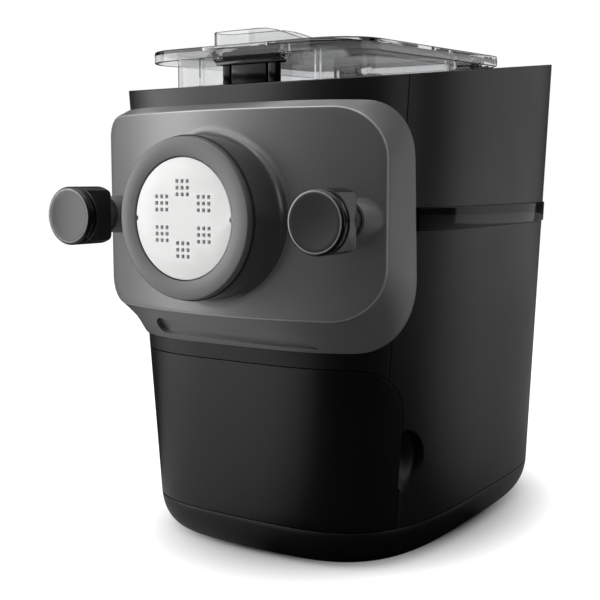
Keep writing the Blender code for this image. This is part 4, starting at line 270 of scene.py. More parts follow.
finish["clearPlastic"] = clearFinish("clearPlastic", {
    "base": (0.79, 0.795, 0.80), "roughness": 0.015, "swing": 0.02, "ior": 1.49, "patch": 60.0, "flow": 18.0,
    "depth": 0.0002, "strength": 0.02, "shadow": (0.93, 0.93, 0.93),
})
finish["turnedSteel"] = turnedSteelFinish("turnedSteel", {
    "base": (0.56, 0.57, 0.58), "roughness": 0.27, "swing": 0.07, "grain": 320.0, "stretch": (1.0, 14.0, 1.0),
    "dull": 0.82, "depth": 0.00002, "strength": 0.25,
})
finish["brushedSteel"] = turnedSteelFinish("brushedSteel", {
    "base": (0.53, 0.54, 0.55), "roughness": 0.33, "swing": 0.08, "grain": 260.0, "stretch": (0.6, 9.0, 9.0),
    "dull": 0.82, "depth": 0.00002, "strength": 0.25,
})
finish["coatedBoard"] = boardFinish("coatedBoard", {
    "base": (0.02, 0.15, 0.075), "shade": (0.018, 0.12, 0.06), "copper": (0.10, 0.22, 0.08),
    "roughness": 0.38, "tracks": 160.0, "line": 0.012, "grain": 900.0, "depth": 0.00004, "strength": 0.3,
})
print("finishes made:", len(finish))


# Studio: pale floor and wall, large soft lamps, and a world that shows white to the camera

studio = {
    "floorHalf": 4.0,
    "floorColour": (0.62, 0.62, 0.62),
    # pale boards that only gloss sees: direction, level, edge
    "boards": (((-0.616, -0.788, 0.0), 0.50, (0.70, 0.96)), ((0.469, 0.883, 0.0), 0.50, (0.68, 0.97))),
    "dark": 0.01,          # the floor between the boards
    "footGlow": 0.0,
    "floorGlow": 0.80,
    "glowScale": (9.5, 7.0, 1.0),      # the foot of the body is about one unit from its middle
    "glowShift": (0.0, -0.15, 0.0),
    "glowEdge": (0.84, 1.28),
    "wallFacing": (-0.545, 0.838, 0.0),
    "wallEdge": (0.990, 0.998),
    "wallLevel": 0.03,     # what the world gives level with the object
    "ceilingLevel": 0.6,   # and from above
    "ceilingEdge": (0.25, 0.85),
    "glassCeiling": 0.10,  # seen up through the clear pieces
    "glassEdge": (0.10, 0.45),
    "lamps": {
        # name: place, aim, width, height, radiance
        "leftFrontBox": ((-0.98, -0.80, 0.47), (0.0, 0.0, 0.25), 0.62, 0.95, 3.8),
        "frontEdgeBox": ((-0.63, -1.14, 0.63), (0.0, 0.0, 0.25), 0.32, 0.93, 1.3),
        "leftSideBox": ((-1.22, -0.30, 0.47), (0.0, 0.0, 0.25), 0.45, 0.90, 0.5),
        "rightRearBox": ((0.58, 1.19, 0.50), (0.0, 0.0, 0.20), 0.60, 1.0, 0.62),
        "rightBox": ((1.25, 0.12, 0.45), (0.0, 0.0, 0.20), 0.50, 0.90, 0.80),
        "lowFrontBox": ((-0.25, -1.45, 0.10), (0.0, 0.0, 0.20), 0.50, 0.50, 0.60),
        "topBox": ((-0.45, -0.85, 1.35), (0.0, -0.05, 0.18), 1.6, 1.2, 1.3),
        "overheadBox": ((0.0, 0.10, 1.70), (0.0, 0.0, 0.2), 1.4, 1.0, 1.2),
    },
}


def makeWorld():
    world = bpy.data.worlds.new("paleStudio")
    bpy.context.scene.world = world
    world.use_nodes = True
    tree = world.node_tree
    tree.nodes.clear()
    out = tree.nodes.new("ShaderNodeOutputWorld")
    bearing = tree.nodes.new("ShaderNodeTexCoord").outputs["Generated"]
    split = tree.nodes.new("ShaderNodeSeparateXYZ")
    tree.links.new(bearing, split.inputs[0])
    path = tree.nodes.new("ShaderNodeLightPath").outputs
    rise = split.outputs["Z"]
    soft, white = [tree.nodes.new("ShaderNodeBackground") for _ in range(2)]
    for light in (soft, white):
        light.inputs["Color"].default_value = (1.0, 1.0, 1.0, 1.0)
    # what lights the machine: dark walls, pale ceiling
    level = spread(tree, rise, studio["wallLevel"], studio["ceilingLevel"], *studio["ceilingEdge"],
                   "SMOOTHSTEP")
    tree.links.new(level, soft.inputs["Strength"])
    # what shows: white, but darker towards the ceiling through glass
    through = tree.nodes.new("ShaderNodeMix")
    through.inputs[2].default_value = 1.0
    tree.links.new(path["Is Transmission Ray"], through.inputs[0])
    tree.links.new(spread(tree, rise, 1.0, studio["glassCeiling"], *studio["glassEdge"]), through.inputs[3])
    tree.links.new(through.outputs[0], white.inputs["Strength"])
    # the wall behind the machine shows in its gloss too
    facing = vectorNode(tree, "DOT_PRODUCT", bearing, studio["wallFacing"])
    wall = spread(tree, facing, 0.0, 1.0, *studio["wallEdge"])
    seen = mathNode(tree, "MAXIMUM", path["Is Camera Ray"], path["Is Transmission Ray"])
    shown = mathNode(tree, "MAXIMUM", seen, mathNode(tree, "MULTIPLY", path["Is Glossy Ray"], wall))
    tree.links.new(mixedShader(tree, shown, soft.outputs[0], white.outputs[0]), out.inputs["Surface"])


def makeFloor():
    made, tree, shader = newFinish("paleFloor", studio["floorColour"], 0.9, specular=0.1)
    path = tree.nodes.new("ShaderNodeLightPath").outputs
    # in gloss the floor is dark but for the boards
    bearing = vectorNode(tree, "NORMALIZE", partSpace(tree))
    boards = []
    for towards, level, edge in studio["boards"]:
        along = vectorNode(tree, "DOT_PRODUCT", bearing, towards)
        boards.append(spread(tree, along, studio["dark"], level, *edge))
    pick = tree.nodes.new("ShaderNodeMix")
    pick.data_type = "RGBA"
    pick.inputs[6].default_value = (*studio["floorColour"], 1.0)
    tree.links.new(mathNode(tree, "ADD", *boards), pick.inputs[7])
    tree.links.new(path["Is Glossy Ray"], pick.inputs["Factor"])
    tree.links.new(pick.outputs[2], shader.inputs["Base Color"])
    # the glow is weaker by the foot, so the shadow stays
    away = vectorNode(tree, "LENGTH", stretched(tree, studio["glowScale"], studio["glowShift"]))
    far = spread(tree, away, studio["footGlow"], studio["floorGlow"], *studio["glowEdge"])
    seen = mathNode(tree, "MAXIMUM", path["Is Camera Ray"], path["Is Transmission Ray"])
    glow = tree.nodes.new("ShaderNodeEmission")
    tree.links.new(mathNode(tree, "MULTIPLY", seen, far), glow.inputs["Strength"])
    both = tree.nodes.new("ShaderNodeAddShader")
    tree.links.new(shader.outputs[0], both.inputs[0])
    tree.links.new(glow.outputs[0], both.inputs[1])
    tree.links.new(both.outputs[0], tree.nodes["Material Output"].inputs["Surface"])
    half = studio["floorHalf"]
    bm = bmesh.new()
    bm.faces.new([bm.verts.new((x * half, y * half, 0)) for x, y in ((-1, -1), (1, -1), (1, 1), (-1, 1))])
    mesh = bpy.data.meshes.new("studioFloor")
    bm.to_mesh(mesh)
    bm.free()
    mesh.materials.append(made)
    floor = bpy.data.objects.new("studioFloor", mesh)
    bpy.context.scene.collection.objects.link(floor)


def makeLamps():
    for name, (place, aim, width, height, radiance) in studio["lamps"].items():
        data = bpy.data.lights.new(name, "AREA")
        data.shape = "RECTANGLE"
        data.size = width
        data.size_y = height
        data.energy = radiance * math.pi * width * height
        lamp = bpy.data.objects.new(name, data)
        lamp.location = place
        lamp.rotation_euler = (Vector(aim) - Vector(place)).to_track_quat("-Z", "Y").to_euler()
        lamp.visible_camera = False
        lamp.visible_transmission = False
        bpy.context.scene.collection.objects.link(lamp)


makeWorld()
makeFloor()
makeLamps()
print("studio lit")


# Mesh helpers

def standPiece(name, bm, material, smoothDegrees=32):
    bmesh.ops.recalc_face_normals(bm, faces=bm.faces)
    mesh = bpy.data.meshes.new(name)
    bm.to_mesh(mesh)
    bm.free()
    if material:
        mesh.materials.append(material)
    made = bpy.data.objects.new(name, mesh)
    bpy.context.scene.collection.objects.link(made)
    soften(made, smoothDegrees)
    return made


def soften(piece, smoothDegrees=32):
    piece.data.shade_smooth()
    piece.data.set_sharp_from_angle(angle=math.radians(smoothDegrees))


def addRings(bm, rings, closed=False):
    rows = [[bm.verts.new(point) for point in ring] for ring in rings]
    pairs = list(zip(rows, rows[1:]))
    if closed:
        pairs.append((rows[-1], rows[0]))
    for low, high in pairs:
        for i in range(len(low)):
            j = (i + 1) % len(low)
            bm.faces.new((low[i], low[j], high[j], high[i]))
    if not closed:
        bm.faces.new(list(reversed(rows[0])))
        bm.faces.new(rows[-1])
    return rows


def ringPiece(name, rings, material, closed=False, smoothDegrees=32):
    bm = bmesh.new()
    addRings(bm, rings, closed)
    return standPiece(name, bm, material, smoothDegrees)


def boxRings(low, high):
    (x0, y0, z0), (x1, y1, z1) = low, high
    plan = ((x0, y0), (x1, y0), (x1, y1), (x0, y1))
    return [[(x, y, z) for x, y in plan] for z in (z0, z1)]


def carriedOutline(outline, start, end, axis):
    places = {"x": lambda a, b, along: (along, a, b), "y": lambda a, b, along: (a, along, b),
              "z": lambda a, b, along: (a, b, along)}
    return [[places[axis](a, b, along) for a, b in outline] for along in (start, end)]


def tool(name, rings):
    return ringPiece(name, rings, None)


def boxTool(name, low, high):
    return tool(name, boxRings(low, high))


def carriedTool(name, outline, start, end, axis="x"):
    return tool(name, carriedOutline(outline, start, end, axis))


def quarterSteps(radius, steps):
    turns = [math.pi / 2 * i / steps for i in range(steps + 1)]
    return [(radius * (1 - math.cos(turn)), radius * (1 - math.sin(turn))) for turn in turns]


def arcPoints(centre, radius, start, sweep, steps):
    turns = [start + sweep * i / steps for i in range(steps + 1)]
    return [(centre[0] + radius * math.cos(turn), centre[1] + radius * math.sin(turn)) for turn in turns]


def roundedOutline(x0, x1, y0, y1, corners, steps=12):
    points = []
    marks = ((x1, y1, -1, -1, 0), (x0, y1, 1, -1, 1), (x0, y0, 1, 1, 2), (x1, y0, -1, 1, 3))
    for (x, y, dx, dy, quarter), radius in zip(marks, corners):
        for i in range(steps + 1):
            turn = math.pi / 2 * (quarter + i / steps)
            points.append((x + radius * (dx + math.cos(turn)), y + radius * (dy + math.sin(turn))))
    return points


def circlePoints(radius, sides, centre=(0.0, 0.0), phase=0.0):
    return [(centre[0] + radius * math.cos(phase + math.tau * i / sides),
             centre[1] + radius * math.sin(phase + math.tau * i / sides)) for i in range(sides)]


def turnedRings(profile, sides, centre):
    return [[(x, y, z) for x, z in circlePoints(radius, sides, centre)] for y, radius in profile]


def softCorner(y, radius, edge):
    return [(y, radius - edge), (y + edge * 0.3, radius - edge * 0.3), (y + edge, radius)]


def rodTool(name, span, radius, sides, centre):
    return tool(name, turnedRings([(y, radius) for y in span], sides, centre))


def paintRows(piece, columns, rows):
    for finishName, (first, last) in rows.items():
        piece.data.materials.append(finish[finishName])
        for face in piece.data.polygons[first * columns:last * columns]:
            face.material_index = len(piece.data.materials) - 1


def shape(piece, operation, *tools):
    for other in tools:
        step = piece.modifiers.new(other.name, "BOOLEAN")
        step.operation = operation
        step.solver = "EXACT"
        step.object = other
    settle(piece)
    for other in tools:
        bpy.data.objects.remove(other)
    return piece


def settle(piece):
    bpy.context.view_layer.update()
    graph = bpy.context.evaluated_depsgraph_get()
    fresh = bpy.data.meshes.new_from_object(piece.evaluated_get(graph), depsgraph=graph)
    piece.modifiers.clear()
    piece.data = fresh


def roundEdges(piece, width, segments=2, limit=40.0):
    step = piece.modifiers.new("edgeRound", "BEVEL")
    step.width = width
    step.segments = segments
    step.limit_method = "ANGLE"
    step.angle_limit = math.radians(limit)
    settle(piece)
    return piece


def place(piece, body, slot, *replaced):
    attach(piece, body)
    if replaced:
        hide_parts(*replaced)
    return piece


# Body outline, shared by the shell pieces: a rounded box whose plan grows towards the rim

body = {
    "columns": 184,
    "power": 3.72,
    "seamZ": 0.0240,
    "rimFrontZ": 0.2798,
    "rimSlope": 0.111,
    "halfLow": 0.0992, "halfHigh": 0.1091,
    "frontLow": 0.1131, "frontHigh": 0.1315,
    "backLow": 0.1568, "backHigh": 0.1654,
    "wall": 0.0026,
    "fit": 0.0003,
    "seam": 0.0006,
    "axisZ": 0.2058,
}


def bodySection(z, inset=0.0):
    rise = (z - body["seamZ"]) / (body["rimFrontZ"] - body["seamZ"])
    half = body["halfLow"] + rise * (body["halfHigh"] - body["halfLow"]) - inset
    front = -body["frontLow"] - rise * (body["frontHigh"] - body["frontLow"]) + inset
    back = body["backLow"] + rise * (body["backHigh"] - body["backLow"]) - inset
    return half, front, back


def bodyPoint(z, turn, inset=0.0):
    half, front, back = bodySection(z, inset)
    reach = (back - front) / 2
    across, along = math.cos(turn), math.sin(turn)
    power = body["power"]
    size = (abs(across / half) ** power + abs(along / reach) ** power) ** (-1 / power)
    return Vector((size * across, (front + back) / 2 + size * along, z))


def bodyTurns():
    return [math.tau * (i + 0.5) / body["columns"] for i in range(body["columns"])]


def bodyRing(z, inset=0.0):
    return [bodyPoint(z, turn, inset) for turn in bodyTurns()]


def rimHeight(y, drop=0.0):
    return body["rimFrontZ"] + body["rimSlope"] * (y + body["frontHigh"]) - drop


def rimRing(inset=0.0, drop=0.0):
    ring = []
    for turn in bodyTurns():
        point = bodyPoint(body["rimFrontZ"], turn, inset)
        for _ in range(3):
            point = bodyPoint(rimHeight(point.y, drop), turn, inset)
        ring.append(point)
    return ring


def bodyHalfWidth(y, z, inset=0.0):
    half, front, back = bodySection(z, inset)
    share = abs(y - (front + back) / 2) / ((back - front) / 2)
    return half * (1 - min(share, 1) ** body["power"]) ** (1 / body["power"])


def wallRings(low, groove=None):
    rings = [bodyRing(low)]
    if groove:
        lowGroove, highGroove, depth = groove
        rings += [bodyRing(lowGroove), bodyRing(lowGroove, depth), bodyRing(highGroove, depth),
                  bodyRing(highGroove)]
    steps = quarterSteps(rimEdge["round"], rimEdge["steps"])
    rings += [rimRing(run, back) for run, back in steps]
    rings += [rimRing(body["wall"] - back, run) for run, back in steps]
    rings.append(bodyRing(low, body["wall"]))
    return rings


rimEdge = {"round": 0.0007, "steps": 3}
drawer = {"edgeY": -0.0810, "topZ": 0.1205, "corner": 0.0300, "rows": 30, "columns": 120, "edgeRound": 0.0006}
dish = {"z": 0.0645, "radius": 0.0190, "floorRadius": 0.0070, "depth": 0.0065, "rise": 0.0085, "wall": 0.0018,
        "room": (0.02, 0.11), "sides": 56}
band = {"lowZ": 0.1983, "highZ": 0.2113, "startY": -0.0790, "proud": 0.0010, "setIn": 0.0011, "edge": 0.0005}
fascia = {"seamY": -0.0910, "openingRadius": 0.0450, "studHole": 0.0064, "cut": (-0.16, -0.09)}
farOut = 0.6       # well past the machine on every side
past = 0.004       # how far a tool runs past the face that it cuts


def sideCutter(name, grow):
    edge, top, corner = (drawer[key] + grow for key in ("edgeY", "topZ", "corner"))
    outline = roundedOutline(edge - farOut, edge, -top, top, (corner, 0, 0, 0), 20)
    return carriedTool(name, outline, -farOut, farOut)


def dishBowl(name, side, grow):
    seamX = bodyHalfWidth(drawer["edgeY"], dish["z"])
    stations = []
    for i in range(9):                     # a bowl with a soft foot and brim
        share = i / 8
        stations.append((seamX - (dish["depth"] + grow) * (1 + math.cos(math.pi * share)) / 2,
                         dish["floorRadius"] + (dish["radius"] - dish["floorRadius"]) * share + grow))
    stations.append((seamX + 2 * dish["rise"], dish["radius"] + grow))
    rings = []
    for x, radius in stations:
        ring = circlePoints(radius, dish["sides"], (drawer["edgeY"], dish["z"]), math.pi / dish["sides"])
        rings.append([(side * x, y, z) for y, z in ring])
    return tool(name, rings)


vents = {"slots": 8, "width": 0.0030, "pitch": 0.0090, "lowZ": 0.0700, "highZ": 0.1200, "cut": (0.149, 0.170)}
gland = {"x": -0.0200, "z": 0.0420, "radius": 0.0075, "cut": (0.145, 0.170)}


def makeHousing():
    seam, fit = body["seam"], body["fit"]
    groove = (band["lowZ"] - fit, band["highZ"] + fit, band["setIn"])
    housing = ringPiece("shell_housing", wallRings(body["seamZ"] + seam / 2, groove), finish["satinBlack"],
                        closed=True)
    cups, hollows, slots = [], [], []
    for side in (-1, 1):
        cup = dishBowl("dishCup", side, dish["wall"])
        room = tool("dishRoom", [bodyRing(z, body["wall"] / 2) for z in dish["room"]])
        cups.append(shape(cup, "INTERSECT", room))
    shape(housing, "UNION", *cups)
    front = boxTool("frontCut", (-farOut, -farOut, -farOut), (farOut, fascia["seamY"] + seam / 2, farOut))
    bay = sideCutter("bayCut", seam)
    for side in (-1, 1):
        hollows.append(dishBowl("dishHollow", side, 0.0))
    for i in range(vents["slots"]):
        x, half = (i - (vents["slots"] - 1) / 2) * vents["pitch"], vents["width"] / 2
        outline = roundedOutline(x - half, x + half, vents["lowZ"], vents["highZ"], (half - 0.00001,) * 4, 4)
        slots.append(carriedTool("ventCut", outline, *vents["cut"], "y"))
    glandCut = rodTool("glandCut", gland["cut"], gland["radius"] + fit, 32, (gland["x"], gland["z"]))
    shape(housing, "DIFFERENCE", front, bay, *hollows, glandCut, *slots)
    soften(housing, 30)
    return place(housing, "main_body", "matte_black", "housing")


def makeFascia():
    seam = body["seam"]
    low = drawer["topZ"] - drawer["corner"]     # side wings come down to the drawer's rounded corners
    made = ringPiece("shell_fascia", wallRings(low), finish["satinBlack"], closed=True)
    front = boxTool("fasciaSide", (-farOut, -farOut, -farOut), (farOut, fascia["seamY"] - seam / 2, farOut))
    shape(made, "INTERSECT", front)
    cuts = [sideCutter("fasciaBay", seam),
            rodTool("fasciaOpening", fascia["cut"], fascia["openingRadius"], 96, (0, body["axisZ"]))]
    for side in (-1, 1):
        centre = (side * knob["x"], body["axisZ"])
        cuts.append(rodTool("studCut", fascia["cut"], fascia["studHole"], 32, centre))
    shape(made, "DIFFERENCE", *cuts)
    soften(made, 30)
    return place(made, "main_body", "matte_black", "front_fascia")


def makeBand():
    low, high, proud = band["lowZ"], band["highZ"], band["proud"]
    inner = band["setIn"] - body["fit"]
    steps = quarterSteps(band["edge"], 4)
    rings = [bodyRing(low, inner)]
    rings += [bodyRing(low + run, -proud + back) for run, back in steps]
    rings += [bodyRing(high - back, -proud + run) for run, back in steps]
    rings.append(bodyRing(high, inner))
    made = ringPiece("gloss_band", rings, finish["bandBlack"], closed=True)
    reach = boxTool("bandReach", (-farOut, band["startY"], -farOut), (farOut, farOut, farOut))
    shape(made, "INTERSECT", reach)
    soften(made, 28)
    return place(made, "main_body", "gloss_black", "trim_band")


base = {
    "bottomZ": 0.0015, "inset": 0.0120, "floor": 0.0025, "steps": 12, "lip": 0.0005,
    "cellPosts": ((0.0580, -0.0510), (0.0580, 0.0910)), "cellPostRadius": 0.0060, "cellPostTop": 0.0067,
    "legLedges": ((0.0770, -0.0700), (0.0770, 0.0477)), "ledgeTop": 0.0097,
    "ledgeHalf": (0.0030, 0.0040),
    "boardPosts": ((0.0430, 0.0760), (0.0430, 0.1320)), "boardPostRadius": 0.0030, "boardPostTop": 0.0100,
}


def makeBase():
    top, lip = body["seamZ"] - body["seam"] / 2, base["lip"]
    floorTop = base["bottomZ"] + base["floor"]
    outer = [bodyRing(top, lip), bodyRing(top - lip * 0.3, lip * 0.3)]
    inner = []
    for i in range(base["steps"] + 1):
        turn = math.pi / 2 * i / base["steps"]
        run = base["inset"] * (1 - math.cos(turn))
        outer.append(bodyRing(top - lip - (top - lip - base["bottomZ"]) * math.sin(turn), run))
        inner.append(bodyRing(top - (top - floorTop) * math.sin(turn), body["wall"] + run))
    made = ringPiece("foot_tray", list(reversed(outer)) + inner, finish["satinBlack"])
    bm = bmesh.new()
    bm.from_mesh(made.data)
    start = base["bottomZ"] + base["floor"] / 2
    halfX, halfY = base["ledgeHalf"]
    for side in (-1, 1):
        for kind, sides in (("cellPost", 24), ("boardPost", 16)):
            for x, y in base[kind + "s"]:
                outline = circlePoints(base[kind + "Radius"], sides, (side * x, y))
                addRings(bm, carriedOutline(outline, start, base[kind + "Top"], "z"))
        for x, y in base["legLedges"]:
            addRings(bm, boxRings((side * x - halfX, y - halfY, start),
                                  (side * x + halfX, y + halfY, base["ledgeTop"])))
    bmesh.ops.recalc_face_normals(bm, faces=bm.faces)
    bm.to_mesh(made.data)
    bm.free()
    soften(made, 30)
    return place(made, "main_body", "matte_black", "base_tray")


def makeDrawerFront():
    low, high = body["seamZ"] + body["seam"] / 2, drawer["topZ"]
    edgeY, corner = drawer["edgeY"], drawer["corner"]

    def edgeTurn(z):
        limit = edgeY
        if z > high - corner:
            limit = edgeY - corner + math.sqrt(max(corner ** 2 - (z - high + corner) ** 2, 0.0))
        first, last = -math.pi / 2, 0.0
        for _ in range(40):
            middle = (first + last) / 2
            if bodyPoint(z, middle).y < limit:
                first = middle
            else:
                last = middle
        return first + math.pi / 2

    heights = [low + (high - corner - low) * i / 10 for i in range(10)]
    for i in range(drawer["rows"] + 1):
        heights.append(high - corner + corner * math.sin(math.pi / 2 * i / drawer["rows"]))
    bm = bmesh.new()
    grids = []
    for inset in (0.0, body["wall"]):
        grid = []
        for z in heights:
            reach = edgeTurn(z)
            row = []
            for i in range(drawer["columns"] + 1):
                turn = -math.pi / 2 + reach * (2 * i / drawer["columns"] - 1)
                row.append(bm.verts.new(bodyPoint(z, turn, inset)))
            grid.append(row)
        grids.append(grid)
    outer, inner = grids
    rows, columns = len(heights), drawer["columns"] + 1
    for i in range(rows - 1):
        for j in range(columns - 1):
            bm.faces.new((outer[i][j], outer[i][j + 1], outer[i + 1][j + 1], outer[i + 1][j]))
            bm.faces.new((inner[i][j], inner[i + 1][j], inner[i + 1][j + 1], inner[i][j + 1]))
        for j, flip in ((0, False), (columns - 1, True)):
            face = (outer[i][j], outer[i + 1][j], inner[i + 1][j], inner[i][j])
            bm.faces.new(tuple(reversed(face)) if flip else face)
    for i in (0, rows - 1):
        for j in range(columns - 1):
            face = (outer[i][j], inner[i][j], inner[i][j + 1], outer[i][j + 1])
            bm.faces.new(tuple(reversed(face)) if i else face)
    made = standPiece("drawer_face", bm, finish["drawerBlack"])
    roundEdges(made, drawer["edgeRound"], 3, 50)
    soften(made, 40)
    return place(made, "storage_drawer", "gloss_black", "drawer_front")


knob = {
    "x": 0.08567, "faceY": -0.1665, "radius": 0.0172, "chamfer": 0.0018, "dish": 0.0006, "cap": 0.0045,
    "groove": 0.0012, "grooveDepth": 0.0018, "backY": -0.1392, "backRound": 0.0030, "flatX": 0.0085,
    "neckRadius": 0.0084, "neckBackY": -0.1270, "studRadius": 0.0040, "bore": (-0.1426, -0.1200),
    "reach": 0.04, "sides": 96, "shares": (0.02, 0.35, 0.65, 0.85, 1.0), "flatFace": 1.15,
    "capEdge": 0.0002, "coreRadius": 0.004, "grooveEdge": 0.0003, "boreFit": 0.0003, "edge": 0.0004,
}

makeHousing()
makeFascia()
makeBand()
makeBase()
makeDrawerFront()
print("shell pieces made")


# Front panel: a bowed face that thins to a rim along the body, with collar, bosses and grip recess

panel = {
    "columns": 176, "crowd": 0.07,
    "faceY": -0.1385, "bow": 0.0235, "half": 0.0994, "topZ": 0.2662, "bottomZ": 0.1495,
    "faceCorners": {"left": (0.0130, 0.0170), "right": (0.0280, 0.0300)},      # top, low
    "rimTopZ": 0.2695, "rimBottomZ": 0.1305, "rimSideY": -0.0805, "rimCorners": (0.0300, 0.0410),
    "wall": 0.0024, "proudEdge": 0.0013, "rimWidth": 0.0080, "edgeRound": 0.0008, "rimRound": 0.0005,
    "collarRadius": 0.0456, "collarBore": 0.0430, "collarFrontY": -0.1616, "collarEdge": 0.0008,
    "fillet": 0.0060, "edgeSteps": 3, "filletSteps": 8, "faceSteps": 10, "bevelSteps": 10,
    "bossFrontY": -0.1344, "bossBackY": -0.1105, "bossFrontRadius": 0.0108, "bossBackRadius": 0.0126,
    "bossEdge": 0.0006, "bossFloorY": -0.1262, "socketRadius": 0.0092, "studHole": 0.0064,
    "cornerSwell": (0.0005, 0.0046),            # top, low
    "gripSpan": (-0.0545, 0.0440, 0.0590),      # left end, start of the slanted end, right end
    "gripRounding": 0.0060,
    "gripUpper": (0.28, 0.42), "gripLower": (0.81, 0.88),      # shares of the bevel, at the left and right end
    "gripDepth": (0.0028, 0.0018),
    "gripBacking": (0.0010, 0.0016, 0.0014),    # start below the bevel, margin round it, extra depth
    "gripSteps": (8, 14, 6), "gripTip": 0.004, "gripSliver": 0.02,
    "arcSteps": 180, "rimSteps": 240,
}


def faceDepth(x):
    return panel["faceY"] + panel["bow"] * (x / panel["half"]) ** 2


def roundedReach(turn, half, up, down, corner):
    across, rise = math.cos(turn), math.sin(turn)
    limit = up if rise > 0 else down
    reach = half / max(abs(across), 1e-9)
    if rise:
        reach = min(reach, limit / abs(rise))
    middle = Vector((half - corner, limit - corner))
    if reach * abs(across) > middle.x and reach * abs(rise) > middle.y:
        along = Vector((abs(across), abs(rise))).dot(middle)
        reach = along + math.sqrt(along ** 2 - middle.length_squared + corner ** 2)
    return reach


def panelTurns():
    even = [math.tau * i / panel["columns"] for i in range(panel["columns"])]
    return [turn + panel["crowd"] * math.sin(4 * turn) for turn in even]


def axisRing(radius, depth):
    ring = []
    for turn in panelTurns():
        x = radius * math.cos(turn)
        ring.append((x, depth(x), body["axisZ"] + radius * math.sin(turn)))
    return ring


def faceReach(turn, inset):
    top, low = panel["faceCorners"]["left" if math.cos(turn) < 0 else "right"]
    corner = top if math.sin(turn) > 0 else low
    return roundedReach(turn, panel["half"] - inset, panel["topZ"] - body["axisZ"] - inset,
                        body["axisZ"] - panel["bottomZ"] - inset, max(corner - inset, corner / 2))


def faceRing(inset, back):
    ring = []
    for turn in panelTurns():
        reach = faceReach(turn, inset)
        x = reach * math.cos(turn)
        ring.append((x, faceDepth(x) + back, body["axisZ"] + reach * math.sin(turn)))
    return ring


arcTables = {}


def frontArc(z, length, inset):
    key = (round(z, 7), round(inset, 6))
    if key not in arcTables:
        points, gone = [bodyPoint(z, -math.pi / 2, inset)], [0.0]
        for i in range(1, panel["arcSteps"] + 1):
            points.append(bodyPoint(z, math.pi / 2 * (i / panel["arcSteps"] - 1), inset))
            gone.append(gone[-1] + (points[-1] - points[-2]).length)
        arcTables[key] = (points, gone)
    points, gone = arcTables[key]
    for i in range(1, len(gone)):
        if gone[i] >= length:
            return points[i - 1].lerp(points[i], (length - gone[i - 1]) / (gone[i] - gone[i - 1]))
    return points[-1]


def rimHalfLength():
    last, gone = bodyPoint(body["axisZ"], -math.pi / 2), 0.0
    for i in range(1, panel["rimSteps"] + 1):
        point = bodyPoint(body["axisZ"], math.pi / 2 * (i / panel["rimSteps"] - 1))
        gone += (point - last).length
        last = point
        if point.y > panel["rimSideY"]:
            break
    return gone


def rimEdgeRing(inset, lift):
    half = rimHalfLength() - inset
    top, low = panel["rimCorners"]
    ring = []
    for turn in panelTurns():
        corner = top if turn % math.tau < math.pi else low
        reach = roundedReach(turn, half, panel["rimTopZ"] - body["axisZ"] - inset,
                             body["axisZ"] - panel["rimBottomZ"] - inset, corner - inset)
        z = body["axisZ"] + reach * math.sin(turn)
        across = reach * math.cos(turn)
        point = frontArc(z, abs(across), -lift)
        ring.append((math.copysign(point.x, across), point.y, z))
    return ring


def between(first, second, share, topSwell, lowSwell):
    ring = []
    for a, b in zip(first, second):
        a, b = Vector(a), Vector(b)
        point = a.lerp(b, share)
        rise = point.z - body["axisZ"]
        limit, swell = body["axisZ"] - panel["rimBottomZ"], lowSwell
        if rise > 0:
            limit, swell = panel["rimTopZ"] - body["axisZ"], topSwell
        full = (abs(point.x) / panel["half"] * abs(rise) / limit) ** 2     # corners are fuller than sides
        out = Vector((point.x, 0.0, rise)).normalized()
        ring.append(tuple(point + out * swell * full * 4 * share * (1 - share)))
    return ring


